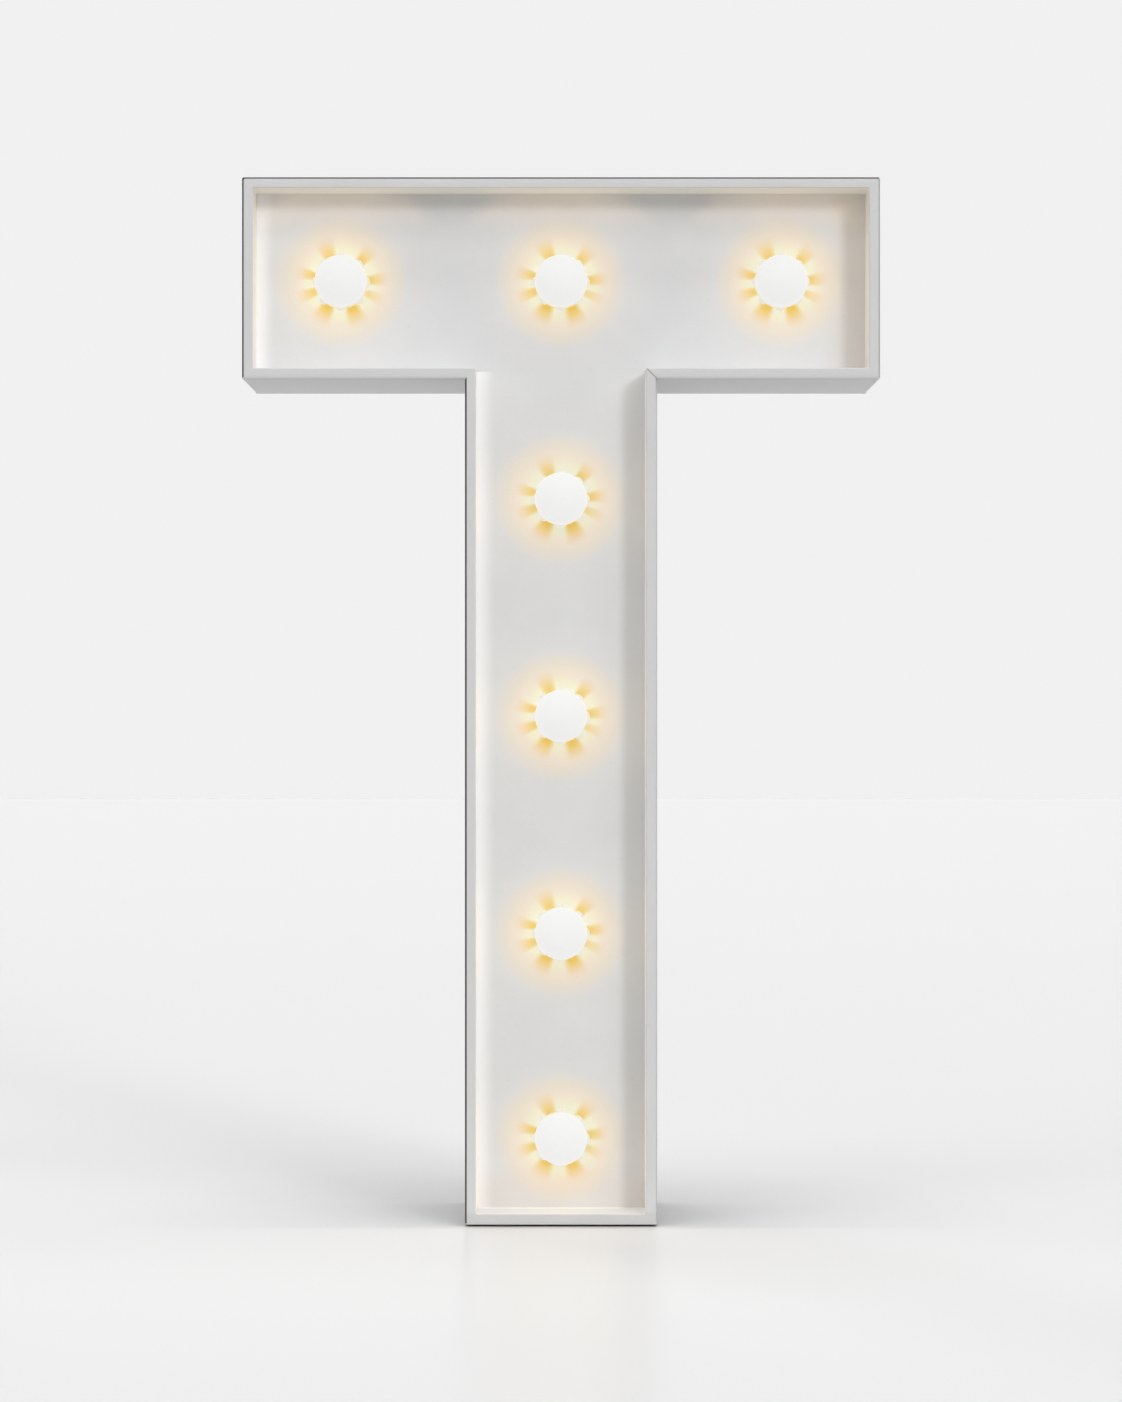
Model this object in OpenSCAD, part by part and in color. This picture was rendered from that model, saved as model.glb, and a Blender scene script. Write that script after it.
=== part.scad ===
// Light-up letter T: a side band, a set-back face panel with seven lamps, and a back cover
// that holds two cells, a slide switch and a keyhole hanger.
// Front faces -Y, up is +Z, and the origin is under the middle of the letter.

/* [Letter] */
// Height of the letter
letter_h = 220; // [200:1:280]
// Width across the crossbar
letter_w = 134; // [124:1:200]
// Height of the crossbar
bar_h = 42.4; // [40:0.2:60]
// Width of the stem
stem_w = 40.4; // [39.6:0.2:60]
// Depth from the front rim to the rear face
letter_d = 45; // [43:0.5:70]

/* [Side band] */
// Thickness of the band, which shows as the front rim
band_t = 2.3; // [1.8:0.1:2.5]
// Bevel along the outer edges
edge_bevel = 0.5; // [0.2:0.1:0.8]
// Width of the ledge behind the face panel
ledge_w = 1.2; // [0.6:0.1:1.5]
// Thickness of that ledge
ledge_t = 1.5; // [1:0.1:3]
// Gap of the mitred seam where the band's two ends meet
seam_gap = 0.12; // [0.06:0.02:0.3]

/* [Face panel] */
// Depth of the panel's front below the rim
face_recess = 11; // [10.5:0.5:14]
// Thickness of the panel
face_t = 2; // [1.5:0.1:3]
// Clearance between the panel and the band
face_gap = 0.15; // [0.05:0.05:0.3]
// Diameter of the screw posts behind the panel
post_d = 6.4; // [5.5:0.1:7]
// Height of the middle pair of posts
mid_post_z = 135; // [130:1:150]

/* [Lamps] */
// Distance from the letter's side to the end lamps
end_lamp_inset = 20.4; // [18:0.1:26]
// Height of the lowest lamp
low_lamp_z = 17.4; // [15:0.1:22]
// How far the lowest lamp sits above the stem's even spacing
low_lamp_rise = 2.6; // [0:0.1:6]
// Diameter of a cap's dome
bulb_d = 11; // [10:0.1:12]
// Height of a cap above the panel
bulb_h = 9.5; // [8:0.1:10]
// Wall of a cap
bulb_wall = 1.1; // [0.8:0.1:1.5]
// Lobes round a cap's skirt
lobe_count = 8; // [6:1:10]
// Diameter of a lobe
lobe_d = 2.4; // [1.6:0.1:3]
// Diameter of the spigot through the panel
spigot_d = 7; // [6.8:0.1:8]
// Length of the spigot behind the panel's front
spigot_l = 4.5; // [4.2:0.1:5.5]
// Outer diameter of the push-on ring
ring_d = 12; // [10:0.1:13]
// Thickness of the push-on ring
ring_t = 1.6; // [1:0.1:2]
// Diameter of an LED
led_d = 5; // [4.8:0.1:5.2]
// Length of an LED's body in front of its flange
led_l = 8.6; // [7.5:0.1:9]
// Length of an LED's leads
lead_l = 6; // [5.4:0.1:7]

/* [Back cover] */
// Thickness of the cover
cover_t = 2.5; // [2.2:0.1:3]
// Height of the locating lip inside the band
lip_h = 2; // [1.5:0.1:3]
// Thickness of the locating lip
lip_t = 1.2; // [0.8:0.1:1.4]
// Clearance between the lip and the band
lip_gap = 0.2; // [0.1:0.05:0.3]
// Height of the bosses that take the screw heads
boss_h = 2.5; // [2:0.1:4]
// Diameter of those bosses
boss_d = 8.4; // [8:0.1:9]
// Diameter of the keyhole's round end
keyhole_d = 8; // [7:0.1:10]
// Width of the keyhole's slot
keyhole_slot_w = 4.2; // [3.5:0.1:5]
// Travel of a screw up the slot
keyhole_rise = 8; // [7:0.1:10]
// Distance from the letter's top to the keyhole's round end
keyhole_drop = 17; // [16:0.5:24]

/* [Screws] */
// Shank diameter of a cover screw
screw_d = 2.6; // [2.2:0.1:3]
// Shank length of a cover screw
screw_l = 10; // [7:0.5:14]
// Head diameter of a cover screw
screw_head_d = 5.2; // [4.6:0.1:5.4]
// Head height of a cover screw
screw_head_h = 1.9; // [1.4:0.1:2.2]

/* [Cells] */
// Diameter of a cell
cell_d = 10.5; // [9.5:0.1:12]
// Length of a cell with its nub
cell_l = 44.5; // [40:0.1:50]
// Height of the middle of the battery pocket
pocket_z = 62; // [56:0.5:68]
// Wall of the battery pocket
pocket_wall = 1.5; // [1.2:0.1:1.6]
// Length of a contact spring
spring_l = 5; // [4.5:0.1:6]
// Wire diameter of a contact spring
spring_wire = 0.7; // [0.5:0.05:0.8]
// Turns of a contact spring
spring_turns = 3; // [2:1:3]
// Thickness of the sheet contacts
contact_t = 0.4; // [0.3:0.05:0.6]

/* [Battery door] */
// Thickness of the door
door_t = 2; // [1.6:0.1:2.1]
// Width of the ledge that the door covers
door_rest = 1; // [0.8:0.1:1.1]
// Clearance round the door
door_gap = 0.3; // [0.25:0.05:0.4]
// Radius of the door's hinge knuckle
knuckle_r = 1.4; // [1.2:0.1:1.5]
// Diameter of the door's pivot pins
pivot_d = 1.4; // [1:0.1:1.5]
// Length of the door's pivot pins
pivot_l = 2.2; // [1.5:0.1:2.5]
// Width of the latch leaf
latch_w = 9; // [6:0.5:12]
// Grip grooves across the door
groove_count = 4; // [2:1:6]

/* [Switch] */
// Height of the switch above the letter's foot
switch_z = 113; // [111:0.5:118]
// Length of the switch's can
can_l = 12.7; // [12.2:0.1:13.5]
// Width of the switch's can
can_w = 6.6; // [6.2:0.1:7.5]
// Depth of the switch's can
can_h = 5; // [4.8:0.1:6]
// Sheet thickness of the can
can_sheet = 0.5; // [0.3:0.05:0.6]
// Travel from on to off
switch_travel = 4; // [3:0.1:4]
// Length of the knob along its travel
knob_l = 3.6; // [3:0.1:4]
// Width of the knob
knob_w = 3.2; // [2.6:0.1:3.6]
// Depth of the dish that the knob stands in
dish_depth = 1.6; // [1.2:0.1:2]

/* [Wiring] */
// Diameter of an insulated wire
wire_d = 1.3; // [1:0.05:1.4]
// Body length of the resistor
resistor_l = 6.3; // [5:0.1:7]
// Body diameter of the resistor
resistor_d = 2.4; // [2:0.1:2.8]

/* [Hidden] */
$fn = 48;

// Clearances
slip = 0.1;
running_gap = 0.3;
head_slack = 0.3;
shank_slack = 0.2;
pivot_slack = 0.05;
press_slack = 0.05;
thread_slack = 0.05;
wire_slack = 0.1;

// Planes of the letter from front to back
front_y = -letter_d / 2;
rear_y = letter_d / 2;
face_y = front_y + face_recess;
panel_back_y = face_y + face_t;
cover_y = rear_y - cover_t;
boss_y = cover_y - boss_h;

// Heights and lamp places
bar_z = letter_h - bar_h;
bar_mid_z = letter_h - bar_h / 2;
bar_pitch = letter_w / 2 - end_lamp_inset;
stem_lamp_count = 4;
stem_pitch = (bar_mid_z - low_lamp_z + low_lamp_rise) / stem_lamp_count;
bar_lamps = [for (i = [-1:1]) [i * bar_pitch, bar_mid_z]];
stem_lamps = [for (i = [1:stem_lamp_count - 1]) [0, bar_mid_z - i * stem_pitch]];
lamps = concat(bar_lamps, stem_lamps, [[0, low_lamp_z]]);

// Screw posts, set in so that each boss clears the band and each post clears the ledge
post_inset = band_t + max(lip_gap + boss_d / 2, ledge_w + slip + post_d / 2);
post_bar_x = letter_w / 2 - post_inset;
post_stem_x = stem_w / 2 - post_inset;
posts = [
    for (side = [-1, 1]) each [
        [side * post_bar_x, letter_h - post_inset],
        [side * post_bar_x, bar_z + post_inset],
        [side * post_stem_x, mid_post_z],
        [side * post_stem_x, post_inset],
    ],
];
pilot_spare_l = 2;
boss_floor_t = 1.6;
head_room_d = screw_head_d + 2 * head_slack;
screw_hole_d = screw_d + 2 * shank_slack;
head_seat_y = boss_y + boss_floor_t;

// Cap and LED
bulb_r = bulb_d / 2;
skirt_h = bulb_h - bulb_r;
cap_floor_t = 1.2;
lobe_centre_r = bulb_r - lobe_d / 4;
lobe_drop = 0.8;
lobe_h = skirt_h - lobe_drop;
led_bore_d = led_d + 2 * slip;
led_flange_t = 1;
led_flange_rim = 0.4;
led_flange_d = led_d + 2 * led_flange_rim;
lead_side = 0.5;
lead_pitch = 2.54;
led_flange_y = face_y + spigot_l;
lead_start_y = led_flange_y + led_flange_t;
lead_end_y = lead_start_y + lead_l;

// Battery pocket and its door
cell_gap = 0.6;
cell_play = 0.25;
nub_d = 3.8;
nub_l = 1;
contact_gap = 0.1;
contact_inset = 1;
contact_w = cell_d - 2 * contact_inset;
tail_w = 3;
tail_l = 2.6;
cell_x = (cell_d + cell_gap) / 2;
pocket_w = 2 * cell_d + cell_gap + 4 * cell_play;
pocket_l = cell_l + spring_l + 2 * contact_t + 2 * contact_gap;
pocket_low_z = pocket_z - pocket_l / 2;
pocket_high_z = pocket_z + pocket_l / 2;
door_in_y = rear_y - door_t;
door_seat_y = door_in_y - slip;
pocket_floor_y = door_in_y - cell_d - 2 * cell_play;
pocket_front_y = pocket_floor_y - pocket_wall;
cell_y = door_in_y - cell_play - cell_d / 2;
door_w = pocket_w + 2 * door_rest;
door_low_z = pocket_low_z - door_rest;
door_high_z = pocket_high_z + door_rest;
pivot_y = rear_y - knuckle_r;
pivot_z = door_high_z - knuckle_r;
latch_t = 0.9;
latch_depth = 4.5;
groove_w = 1;
groove_pitch = 2.4;
groove_depth = 0.5;
pivot_block_h = 5;
pivot_block_t = 1.5;
scoop_r = 6;
scoop_depth = 1.4;
cell_1_low_z = pocket_low_z + contact_t + contact_gap + spring_l;
cell_2_low_z = pocket_low_z + contact_t + contact_gap;

// Switch
pad_y = cover_y - dish_depth;
dish_l = 11;
dish_w = 7;
ear_screw_d = 1.8;
ear_screw_head_d = 3.2;
ear_screw_head_h = 1.2;
ear_screw_l = 2.6;
ear_pitch = can_l + ear_screw_head_d + 4 * slip;
ear_l = ear_pitch + ear_screw_head_d + 4 * slip;
pad_margin = 1;
pad_l = ear_l + pad_margin;
pad_w = can_w + 3 * pad_margin;
window_l = knob_l + switch_travel + 2 * running_gap;
window_w = knob_w + 2 * running_gap;
can_in_l = can_l - 2 * can_sheet;
can_in_w = can_w - 2 * can_sheet;
base_t = 1.4;
base_y = pad_y - can_h;
shuttle_t = 1.6;
shuttle_l = can_in_l - switch_travel - 2 * running_gap;
shuttle_w = can_in_w - 2 * running_gap;
shuttle_y = pad_y - can_sheet - slip - shuttle_t;
wiper_t = 0.3;
wiper_bump_r = 0.3;
terminal_pitch = 3;
terminal_w = 1.2;
terminal_t = 0.5;
terminal_l = 4;
terminal_top_y = shuttle_y - wiper_t - wiper_bump_r - slip;
terminal_tip_y = base_y - terminal_l;
on_x = switch_travel / 2;

// Wires: the positive bus lies in front of the negative one, so that they cross without touching
bus_offset = lead_pitch / 2 + lead_side / 2 + wire_d / 2 + wire_slack;
bus_depth = 2.6;
positive_y = lead_start_y + bus_depth;
negative_y = positive_y + bus_depth;
bus_overrun = 4;
tail_tip_y = pocket_front_y - tail_l;
tail_z = pocket_high_z - contact_t / 2;
resistor_at = [-6, terminal_tip_y - 4, switch_z + 15];
resistor_wire_d = 0.6;
resistor_wire_l = 3.5;
resistor_top_z = resistor_at.z + resistor_l + resistor_wire_l;
bus_side_x = bus_offset + wire_d / 2;
positive_route = [
    [-cell_x, tail_tip_y - wire_slack, tail_z],
    [-cell_x, tail_tip_y - 1.2, tail_z],
    [-cell_x, tail_tip_y - 1.8, tail_z + 1.5],
    [-5.2, tail_tip_y - 1.4, tail_z + 5],
    [-4.6, terminal_tip_y - 4.6, switch_z - 14],
    [-3, terminal_tip_y - 4.4, switch_z - 7],
    [-1, terminal_tip_y - 4, switch_z - 3],
    [0, terminal_tip_y - 3.2, switch_z - 1],
    [0, terminal_tip_y - 1.2, switch_z],
    [0, terminal_tip_y - wire_slack, switch_z],
];
switch_route = [
    [terminal_pitch, terminal_tip_y - wire_slack, switch_z],
    [terminal_pitch, terminal_tip_y - 1.2, switch_z],
    [2.6, terminal_tip_y - 2.8, switch_z + 2],
    [0, terminal_tip_y - 3.2, switch_z + 4.5],
    [-3.5, terminal_tip_y - 3.6, switch_z + 6.5],
    [-5.6, terminal_tip_y - 3.9, switch_z + 8.6],
    [resistor_at.x, resistor_at.y, resistor_at.z - resistor_wire_l - 1.2],
    [resistor_at.x, resistor_at.y, resistor_at.z - resistor_wire_l - wire_slack],
];
join_route = [
    [resistor_at.x, resistor_at.y, resistor_top_z + wire_slack],
    [resistor_at.x, resistor_at.y, resistor_top_z + 1.4],
    [-5.9, resistor_at.y - 1, resistor_top_z + 3.2],
    [-5.6, (resistor_at.y + positive_y) / 2, resistor_top_z + 6],
    [-5.4, positive_y + 1, resistor_top_z + 8],
    [-bus_side_x - 1.5, positive_y, resistor_top_z + 8.5],
    [-bus_side_x - wire_slack, positive_y, resistor_top_z + 8.5],
];
negative_route = [
    [cell_x, tail_tip_y - wire_slack, tail_z],
    [cell_x, tail_tip_y - 1.2, tail_z],
    [cell_x, tail_tip_y - 1.8, tail_z + 1.5],
    [5.4, (tail_tip_y + negative_y) / 2, tail_z + 4.5],
    [5.2, negative_y + 1, tail_z + 6.5],
    [bus_side_x + 1.5, negative_y, tail_z + 7],
    [bus_side_x + wire_slack, negative_y, tail_z + 7],
];

// Colours
white = "#f4f4f2";
warm_white = "#fff6dc";
steel = "#b9bcc0";
nickel = "#d0cec6";
brown = "#7a5230";
black = "#232323";
red = "#b3261e";
tan_body = "#cfae82";

// Outline of the letter in X and Z, moved inwards by an inset
function letter_outline(inset) = [
    [-stem_w / 2 + inset, inset],
    [stem_w / 2 - inset, inset],
    [stem_w / 2 - inset, bar_z + inset],
    [letter_w / 2 - inset, bar_z + inset],
    [letter_w / 2 - inset, letter_h - inset],
    [-letter_w / 2 + inset, letter_h - inset],
    [-letter_w / 2 + inset, bar_z + inset],
    [-stem_w / 2 + inset, bar_z + inset],
];

// Tube through a list of points: rings turned along the path without twist
function unit(v) = v / norm(v);
function path_tangents(path) = [
    for (i = [0:len(path) - 1])
        unit(path[min(i + 1, len(path) - 1)] - path[max(i - 1, 0)])
];
function square_to(v, tangent) = unit(v - (v * tangent) * tangent);
function start_normal(tangent) = square_to(abs(tangent.x) < 0.8 ? [1, 0, 0] : [0, 1, 0], tangent);
function path_normals(tangents, i, normal) =
    i == len(tangents) ? []
    : let (turned = square_to(normal, tangents[i]))
        concat([turned], path_normals(tangents, i + 1, turned));

module tube(path, d, sides) {
    tangents = path_tangents(path);
    normals = path_normals(tangents, 0, start_normal(tangents[0]));
    last = len(path) - 1;
    points = [
        for (i = [0:last])
            let (side = cross(tangents[i], normals[i]))
                for (k = [0:sides - 1])
                    path[i] + d / 2 * (cos(360 * k / sides) * normals[i] + sin(360 * k / sides) * side)
    ];
    walls = [
        for (i = [0:last - 1], k = [0:sides - 1])
            let (a = i * sides + k, b = i * sides + (k + 1) % sides)
                each [[a, a + sides, b], [b, a + sides, b + sides]]
    ];
    ends = [
        for (k = [1:sides - 2])
            each [[0, k, k + 1], [last * sides, last * sides + k + 1, last * sides + k]]
    ];
    polyhedron(points, concat(walls, ends));
}

// Helpers that place shapes along Y
module along_y(x, y, z) { translate([x, y, z]) rotate([-90, 0, 0]) children(); }

module rod_y(x, z, y0, y1, d) { along_y(x, y0, z) cylinder(h = y1 - y0, d = d); }

module box(x0, x1, y0, y1, z0, z1) { translate([x0, y0, z0]) cube([x1 - x0, y1 - y0, z1 - z0]); }

module centred_box(w, y0, y1, z, h) { box(-w / 2, w / 2, y0, y1, z - h / 2, z + h / 2); }

// Slab of the letter's outline between two planes
module letter_slab(inset, y0, y1) {
    translate([0, y1, 0]) rotate([90, 0, 0]) linear_extrude(y1 - y0) polygon(letter_outline(inset));
}

// Ring of the letter's outline between two insets and two planes
module letter_ring(outer_inset, inner_inset, y0, y1) {
    difference() {
        letter_slab(outer_inset, y0, y1);
        letter_slab(inner_inset, y0 - 1, y1 + 1);
    }
}

// Profile of a block with its corners at y0 bevelled; the other way up when y0 is behind y1
function bevelled(a0, a1, y0, y1) =
    let (s = sign(y1 - y0) * edge_bevel)
        [[a0, y1], [a0, y0 + s], [a0 + edge_bevel, y0], [a1 - edge_bevel, y0], [a1, y0 + s], [a1, y1]];

module bevelled_block(w, z0, z1, y0, y1) {
    intersection() {
        translate([0, 0, z0]) linear_extrude(z1 - z0) polygon(bevelled(-w / 2, w / 2, y0, y1));
        translate([-w / 2, 0, 0]) rotate([90, 0, 90]) linear_extrude(w)
            polygon([for (p = bevelled(z0, z1, y0, y1)) [p.y, p.x]]);
    }
}

// Solid letter whose outer edges at y0 are bevelled and mitred
module letter_block(y0, y1) {
    bevelled_block(letter_w, bar_z, letter_h, y0, y1);
    bevelled_block(stem_w, 0, bar_mid_z, y0, y1);
}

// Housing
module side_band() {
    color(white) difference() {
        union() {
            difference() {
                letter_block(front_y, cover_y);
                letter_slab(band_t, front_y - 1, cover_y + 1);
            }
            letter_ring(band_t / 2, band_t + ledge_w, panel_back_y, panel_back_y + ledge_t);
        }
        translate([stem_w / 2, front_y - 1, bar_z]) rotate([0, -135, 0])
            translate([-1, 0, -seam_gap / 2]) cube([2 * (band_t + ledge_w) + 1, letter_d + 2, seam_gap]);
    }
}

module face_panel() {
    color(white) difference() {
        union() {
            letter_slab(band_t + face_gap, face_y, panel_back_y);
            for (p = posts) rod_y(p.x, p.y, panel_back_y - face_t / 2, boss_y, post_d);
        }
        for (p = lamps) rod_y(p.x, p.y, face_y - 1, panel_back_y + 1, spigot_d + 2 * slip);
        for (p = posts)
            rod_y(p.x, p.y, boss_y - screw_l - pilot_spare_l, boss_y + 1, screw_d + 2 * thread_slack);
    }
}

module keyhole() {
    z = letter_h - keyhole_drop;
    rod_y(0, z, cover_y - 1, rear_y + 1, keyhole_d);
    box(-keyhole_slot_w / 2, keyhole_slot_w / 2, cover_y - 1, rear_y + 1, z, z + keyhole_rise);
    rod_y(0, z + keyhole_rise, cover_y - 1, rear_y + 1, keyhole_slot_w);
}

module battery_pocket_walls() {
    centred_box(pocket_w + 2 * pocket_wall, pocket_front_y, cover_y + cover_t / 4,
        pocket_z, pocket_l + 2 * pocket_wall);
    centred_box(door_w + 2 * (pivot_l + door_gap + pivot_block_t), cover_y - pivot_block_t,
        cover_y + cover_t / 4, pivot_z, pivot_block_h);
}

module battery_pocket_hollow() {
    centred_box(pocket_w, pocket_floor_y, rear_y + 1, pocket_z, pocket_l);
    box(-door_w / 2 - door_gap, door_w / 2 + door_gap, door_seat_y, rear_y + 1,
        door_low_z - door_gap, door_high_z + door_gap);
    translate([-door_w / 2 - door_gap, pivot_y, pivot_z]) rotate([0, 90, 0])
        cylinder(h = door_w + 2 * door_gap, r = knuckle_r + door_gap);
    translate([-door_w / 2 - pivot_l - door_gap, pivot_y, pivot_z]) rotate([0, 90, 0])
        cylinder(h = door_w + 2 * (pivot_l + door_gap), d = pivot_d + 2 * pivot_slack);
    box(-latch_w / 2 - door_gap, latch_w / 2 + door_gap, door_in_y - latch_depth - 1, cover_y,
        pocket_low_z - pocket_wall - 1, pocket_low_z + 1);
    box(-latch_w / 2 - door_gap, latch_w / 2 + door_gap, cover_y - 1, rear_y,
        door_low_z - door_gap, pocket_low_z + 1);
    rod_y(0, door_low_z, rear_y - scoop_depth, rear_y + 1, 2 * scoop_r);
    for (side = [-1, 1])
        box(side * cell_x - tail_w / 2 - slip, side * cell_x + tail_w / 2 + slip,
            pocket_front_y - 1, pocket_floor_y + 1, pocket_high_z - contact_t - slip, pocket_high_z);
}

module switch_opening() {
    centred_box(dish_l, rear_y - dish_depth, rear_y + 1, switch_z, dish_w);
    centred_box(window_l, pad_y - 1, rear_y, switch_z, window_w);
    for (side = [-1, 1])
        rod_y(side * ear_pitch / 2, switch_z, pad_y - 1, pad_y + ear_screw_l + slip,
            ear_screw_d + 2 * thread_slack);
}

module back_cover() {
    color(white) difference() {
        union() {
            letter_block(rear_y, cover_y);
            letter_ring(band_t + lip_gap, band_t + lip_gap + lip_t, cover_y - lip_h, cover_y + cover_t / 4);
            for (p = posts) rod_y(p.x, p.y, boss_y, cover_y + cover_t / 4, boss_d);
            battery_pocket_walls();
            centred_box(pad_l, pad_y, cover_y + cover_t / 4, switch_z, pad_w);
        }
        battery_pocket_hollow();
        switch_opening();
        keyhole();
        for (p = posts) {
            rod_y(p.x, p.y, boss_y - 1, rear_y + 1, screw_hole_d);
            rod_y(p.x, p.y, head_seat_y, rear_y + 1, head_room_d);
        }
    }
}

module cross_recess(d, depth) {
    for (turn = [0, 90]) rotate([0, 0, turn]) translate([-d / 2, -d / 10, 0]) cube([d, d / 5, depth + 1]);
}

// Screw along Y with its head's seat at y0; dir is 1 when the shank runs towards +Y
module screw(x, y0, z, dir, d, l, head_d, head_h) {
    translate([x, y0, z]) rotate([dir > 0 ? -90 : 90, 0, 0]) difference() {
        union() {
            cylinder(h = l, d = d);
            translate([0, 0, -head_h]) cylinder(h = head_h, d = head_d);
        }
        translate([0, 0, -head_h * 0.55]) mirror([0, 0, 1]) cross_recess(head_d * 0.6, head_h);
    }
}

module cover_screws() {
    color(steel) for (p = posts)
        screw(p.x, head_seat_y, p.y, -1, screw_d, screw_l, screw_head_d, screw_head_h);
}

module battery_door() {
    color(white) difference() {
        union() {
            box(-door_w / 2, door_w / 2, door_in_y, rear_y, door_low_z, pivot_z);
            translate([-door_w / 2, pivot_y, pivot_z]) rotate([0, 90, 0])
                cylinder(h = door_w, r = knuckle_r);
            translate([-door_w / 2 - pivot_l, pivot_y, pivot_z]) rotate([0, 90, 0])
                cylinder(h = door_w + 2 * pivot_l, d = pivot_d);
            box(-latch_w / 2, latch_w / 2, door_in_y - latch_depth, door_in_y + door_t / 4,
                door_low_z + slip / 2, door_low_z + slip / 2 + latch_t);
        }
        for (i = [0:groove_count - 1])
            centred_box(latch_w * 1.4, rear_y - groove_depth, rear_y + 1,
                door_low_z + 5 + i * groove_pitch, groove_w);
    }
}

// Lamps
// Half section of a dome on a straight skirt, standing on z0
module dome_profile(r, z0, top) {
    translate([0, z0]) square([r, top - r - z0]);
    intersection() {
        translate([0, top - r]) circle(r = r);
        translate([0, top - r - 0.01]) square([r + 1, r + 1]);
    }
}

module bulb(i) {
    color(warm_white) translate([lamps[i].x, face_y, lamps[i].y]) rotate([90, 0, 0]) difference() {
        union() {
            rotate_extrude() dome_profile(bulb_r, 0, bulb_h);
            for (k = [0:lobe_count - 1]) rotate([0, 0, 360 * k / lobe_count])
                translate([lobe_centre_r, 0, 0]) cylinder(h = lobe_h, d = lobe_d);
            translate([0, 0, -spigot_l]) cylinder(h = spigot_l + cap_floor_t / 2, d = spigot_d);
        }
        rotate_extrude() dome_profile(bulb_r - bulb_wall, cap_floor_t, bulb_h - bulb_wall);
        translate([0, 0, -spigot_l - 1]) cylinder(h = spigot_l + cap_floor_t + 2, d = led_bore_d);
    }
}

module bulb_ring(i) {
    color(white) translate([lamps[i].x, panel_back_y, lamps[i].y]) rotate([-90, 0, 0]) difference() {
        cylinder(h = ring_t, d = ring_d);
        translate([0, 0, -1]) cylinder(h = ring_t + 2, d = spigot_d + 2 * press_slack);
        for (turn = [0:60:300]) rotate([0, 0, turn])
            translate([spigot_d / 2 - 0.2, -0.3, ring_t / 2]) cube([1.2, 0.6, ring_t]);
    }
}

module led(i) {
    turn = lamps[i].y > bar_z ? 90 : 0;
    color(warm_white) translate([lamps[i].x, led_flange_y, lamps[i].y]) rotate([90, turn, 0]) {
        rotate_extrude() {
            dome_profile(led_d / 2, 0, led_l);
            translate([0, -led_flange_t]) square([led_flange_d / 2, led_flange_t]);
        }
        for (side = [-1, 1])
            translate([side * lead_pitch / 2 - lead_side / 2, -lead_side / 2, led_flange_y - lead_end_y])
                cube([lead_side, lead_side, lead_end_y - led_flange_y - led_flange_t / 2]);
    }
}

// Cells and contacts
module cell(x, low_z, nub_up) {
    color(steel) translate([x, cell_y, low_z + cell_l / 2]) rotate([nub_up ? 0 : 180, 0, 0])
        translate([0, 0, -cell_l / 2]) {
            cylinder(h = cell_l - nub_l, d = cell_d);
            cylinder(h = cell_l, d = nub_d);
        }
}

module tail_contact(x) {
    color(nickel) {
        box(x - contact_w / 2, x + contact_w / 2, cell_y - contact_w / 2, cell_y + contact_w / 2,
            pocket_high_z - contact_t, pocket_high_z);
        box(x - tail_w / 2, x + tail_w / 2, tail_tip_y, cell_y, pocket_high_z - contact_t, pocket_high_z);
    }
}

module contact_bridge() {
    color(nickel) box(-cell_x - contact_w / 2, cell_x + contact_w / 2,
        cell_y - contact_w / 2, cell_y + contact_w / 2, pocket_low_z, pocket_low_z + contact_t);
}

// Conical coil from its plate to the cell's flat end, with straight ends
spring_taper = 1.4;
spring_wide_r = contact_w / 2 - spring_wire / 2 - slip;
spring_narrow_r = spring_wide_r - spring_taper;
spring_steps = 8 * spring_turns;
spring_lead_in = spring_wire;
spring_path = concat(
    [[spring_wide_r, 0, 0]],
    [for (i = [0:spring_steps])
        let (
            t = i / spring_steps,
            r = spring_wide_r + (spring_narrow_r - spring_wide_r) * t,
            a = 360 * spring_turns * t
        )
            [r * cos(a), r * sin(a), spring_lead_in + (spring_l - 2 * spring_lead_in) * t]],
    [[spring_narrow_r, 0, spring_l]]
);
spring_gaps = [
    for (i = [0:len(spring_path) - 1], j = [i + 5:1:len(spring_path) - 1])
        norm(spring_path[i] - spring_path[j]) - spring_wire
];
echo(least_gap_in_contact_spring = min(spring_gaps));

module contact_spring(x, plate_z, up) {
    color(nickel) translate([x, cell_y, plate_z]) rotate([up ? 0 : 180, 0, 0])
        tube(spring_path, spring_wire, 6);
}

// Switch
module switch_frame() {
    color(steel) difference() {
        union() {
            centred_box(ear_l, pad_y - can_sheet, pad_y, switch_z, can_w);
            centred_box(can_l, base_y, pad_y, switch_z, can_w);
        }
        centred_box(can_in_l, base_y - 1, pad_y - can_sheet, switch_z, can_in_w);
        centred_box(window_l, pad_y - can_sheet - 1, pad_y + 1, switch_z, window_w);
        for (side = [-1, 1])
            rod_y(side * ear_pitch / 2, switch_z, pad_y - can_sheet - 1, pad_y + 1,
                ear_screw_d + 2 * shank_slack);
    }
}

module switch_base() {
    color(brown) difference() {
        centred_box(can_in_l - slip, base_y, base_y + base_t, switch_z, can_in_w - slip);
        for (k = [-1:1]) translate([k * terminal_pitch, 0, 0])
            centred_box(terminal_w + slip, base_y - 1, base_y + base_t + 1, switch_z, terminal_t + slip);
    }
}

module switch_terminals() {
    color(nickel) for (k = [-1:1]) translate([k * terminal_pitch, 0, 0])
        centred_box(terminal_w, terminal_tip_y, terminal_top_y, switch_z, terminal_t);
}

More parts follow.
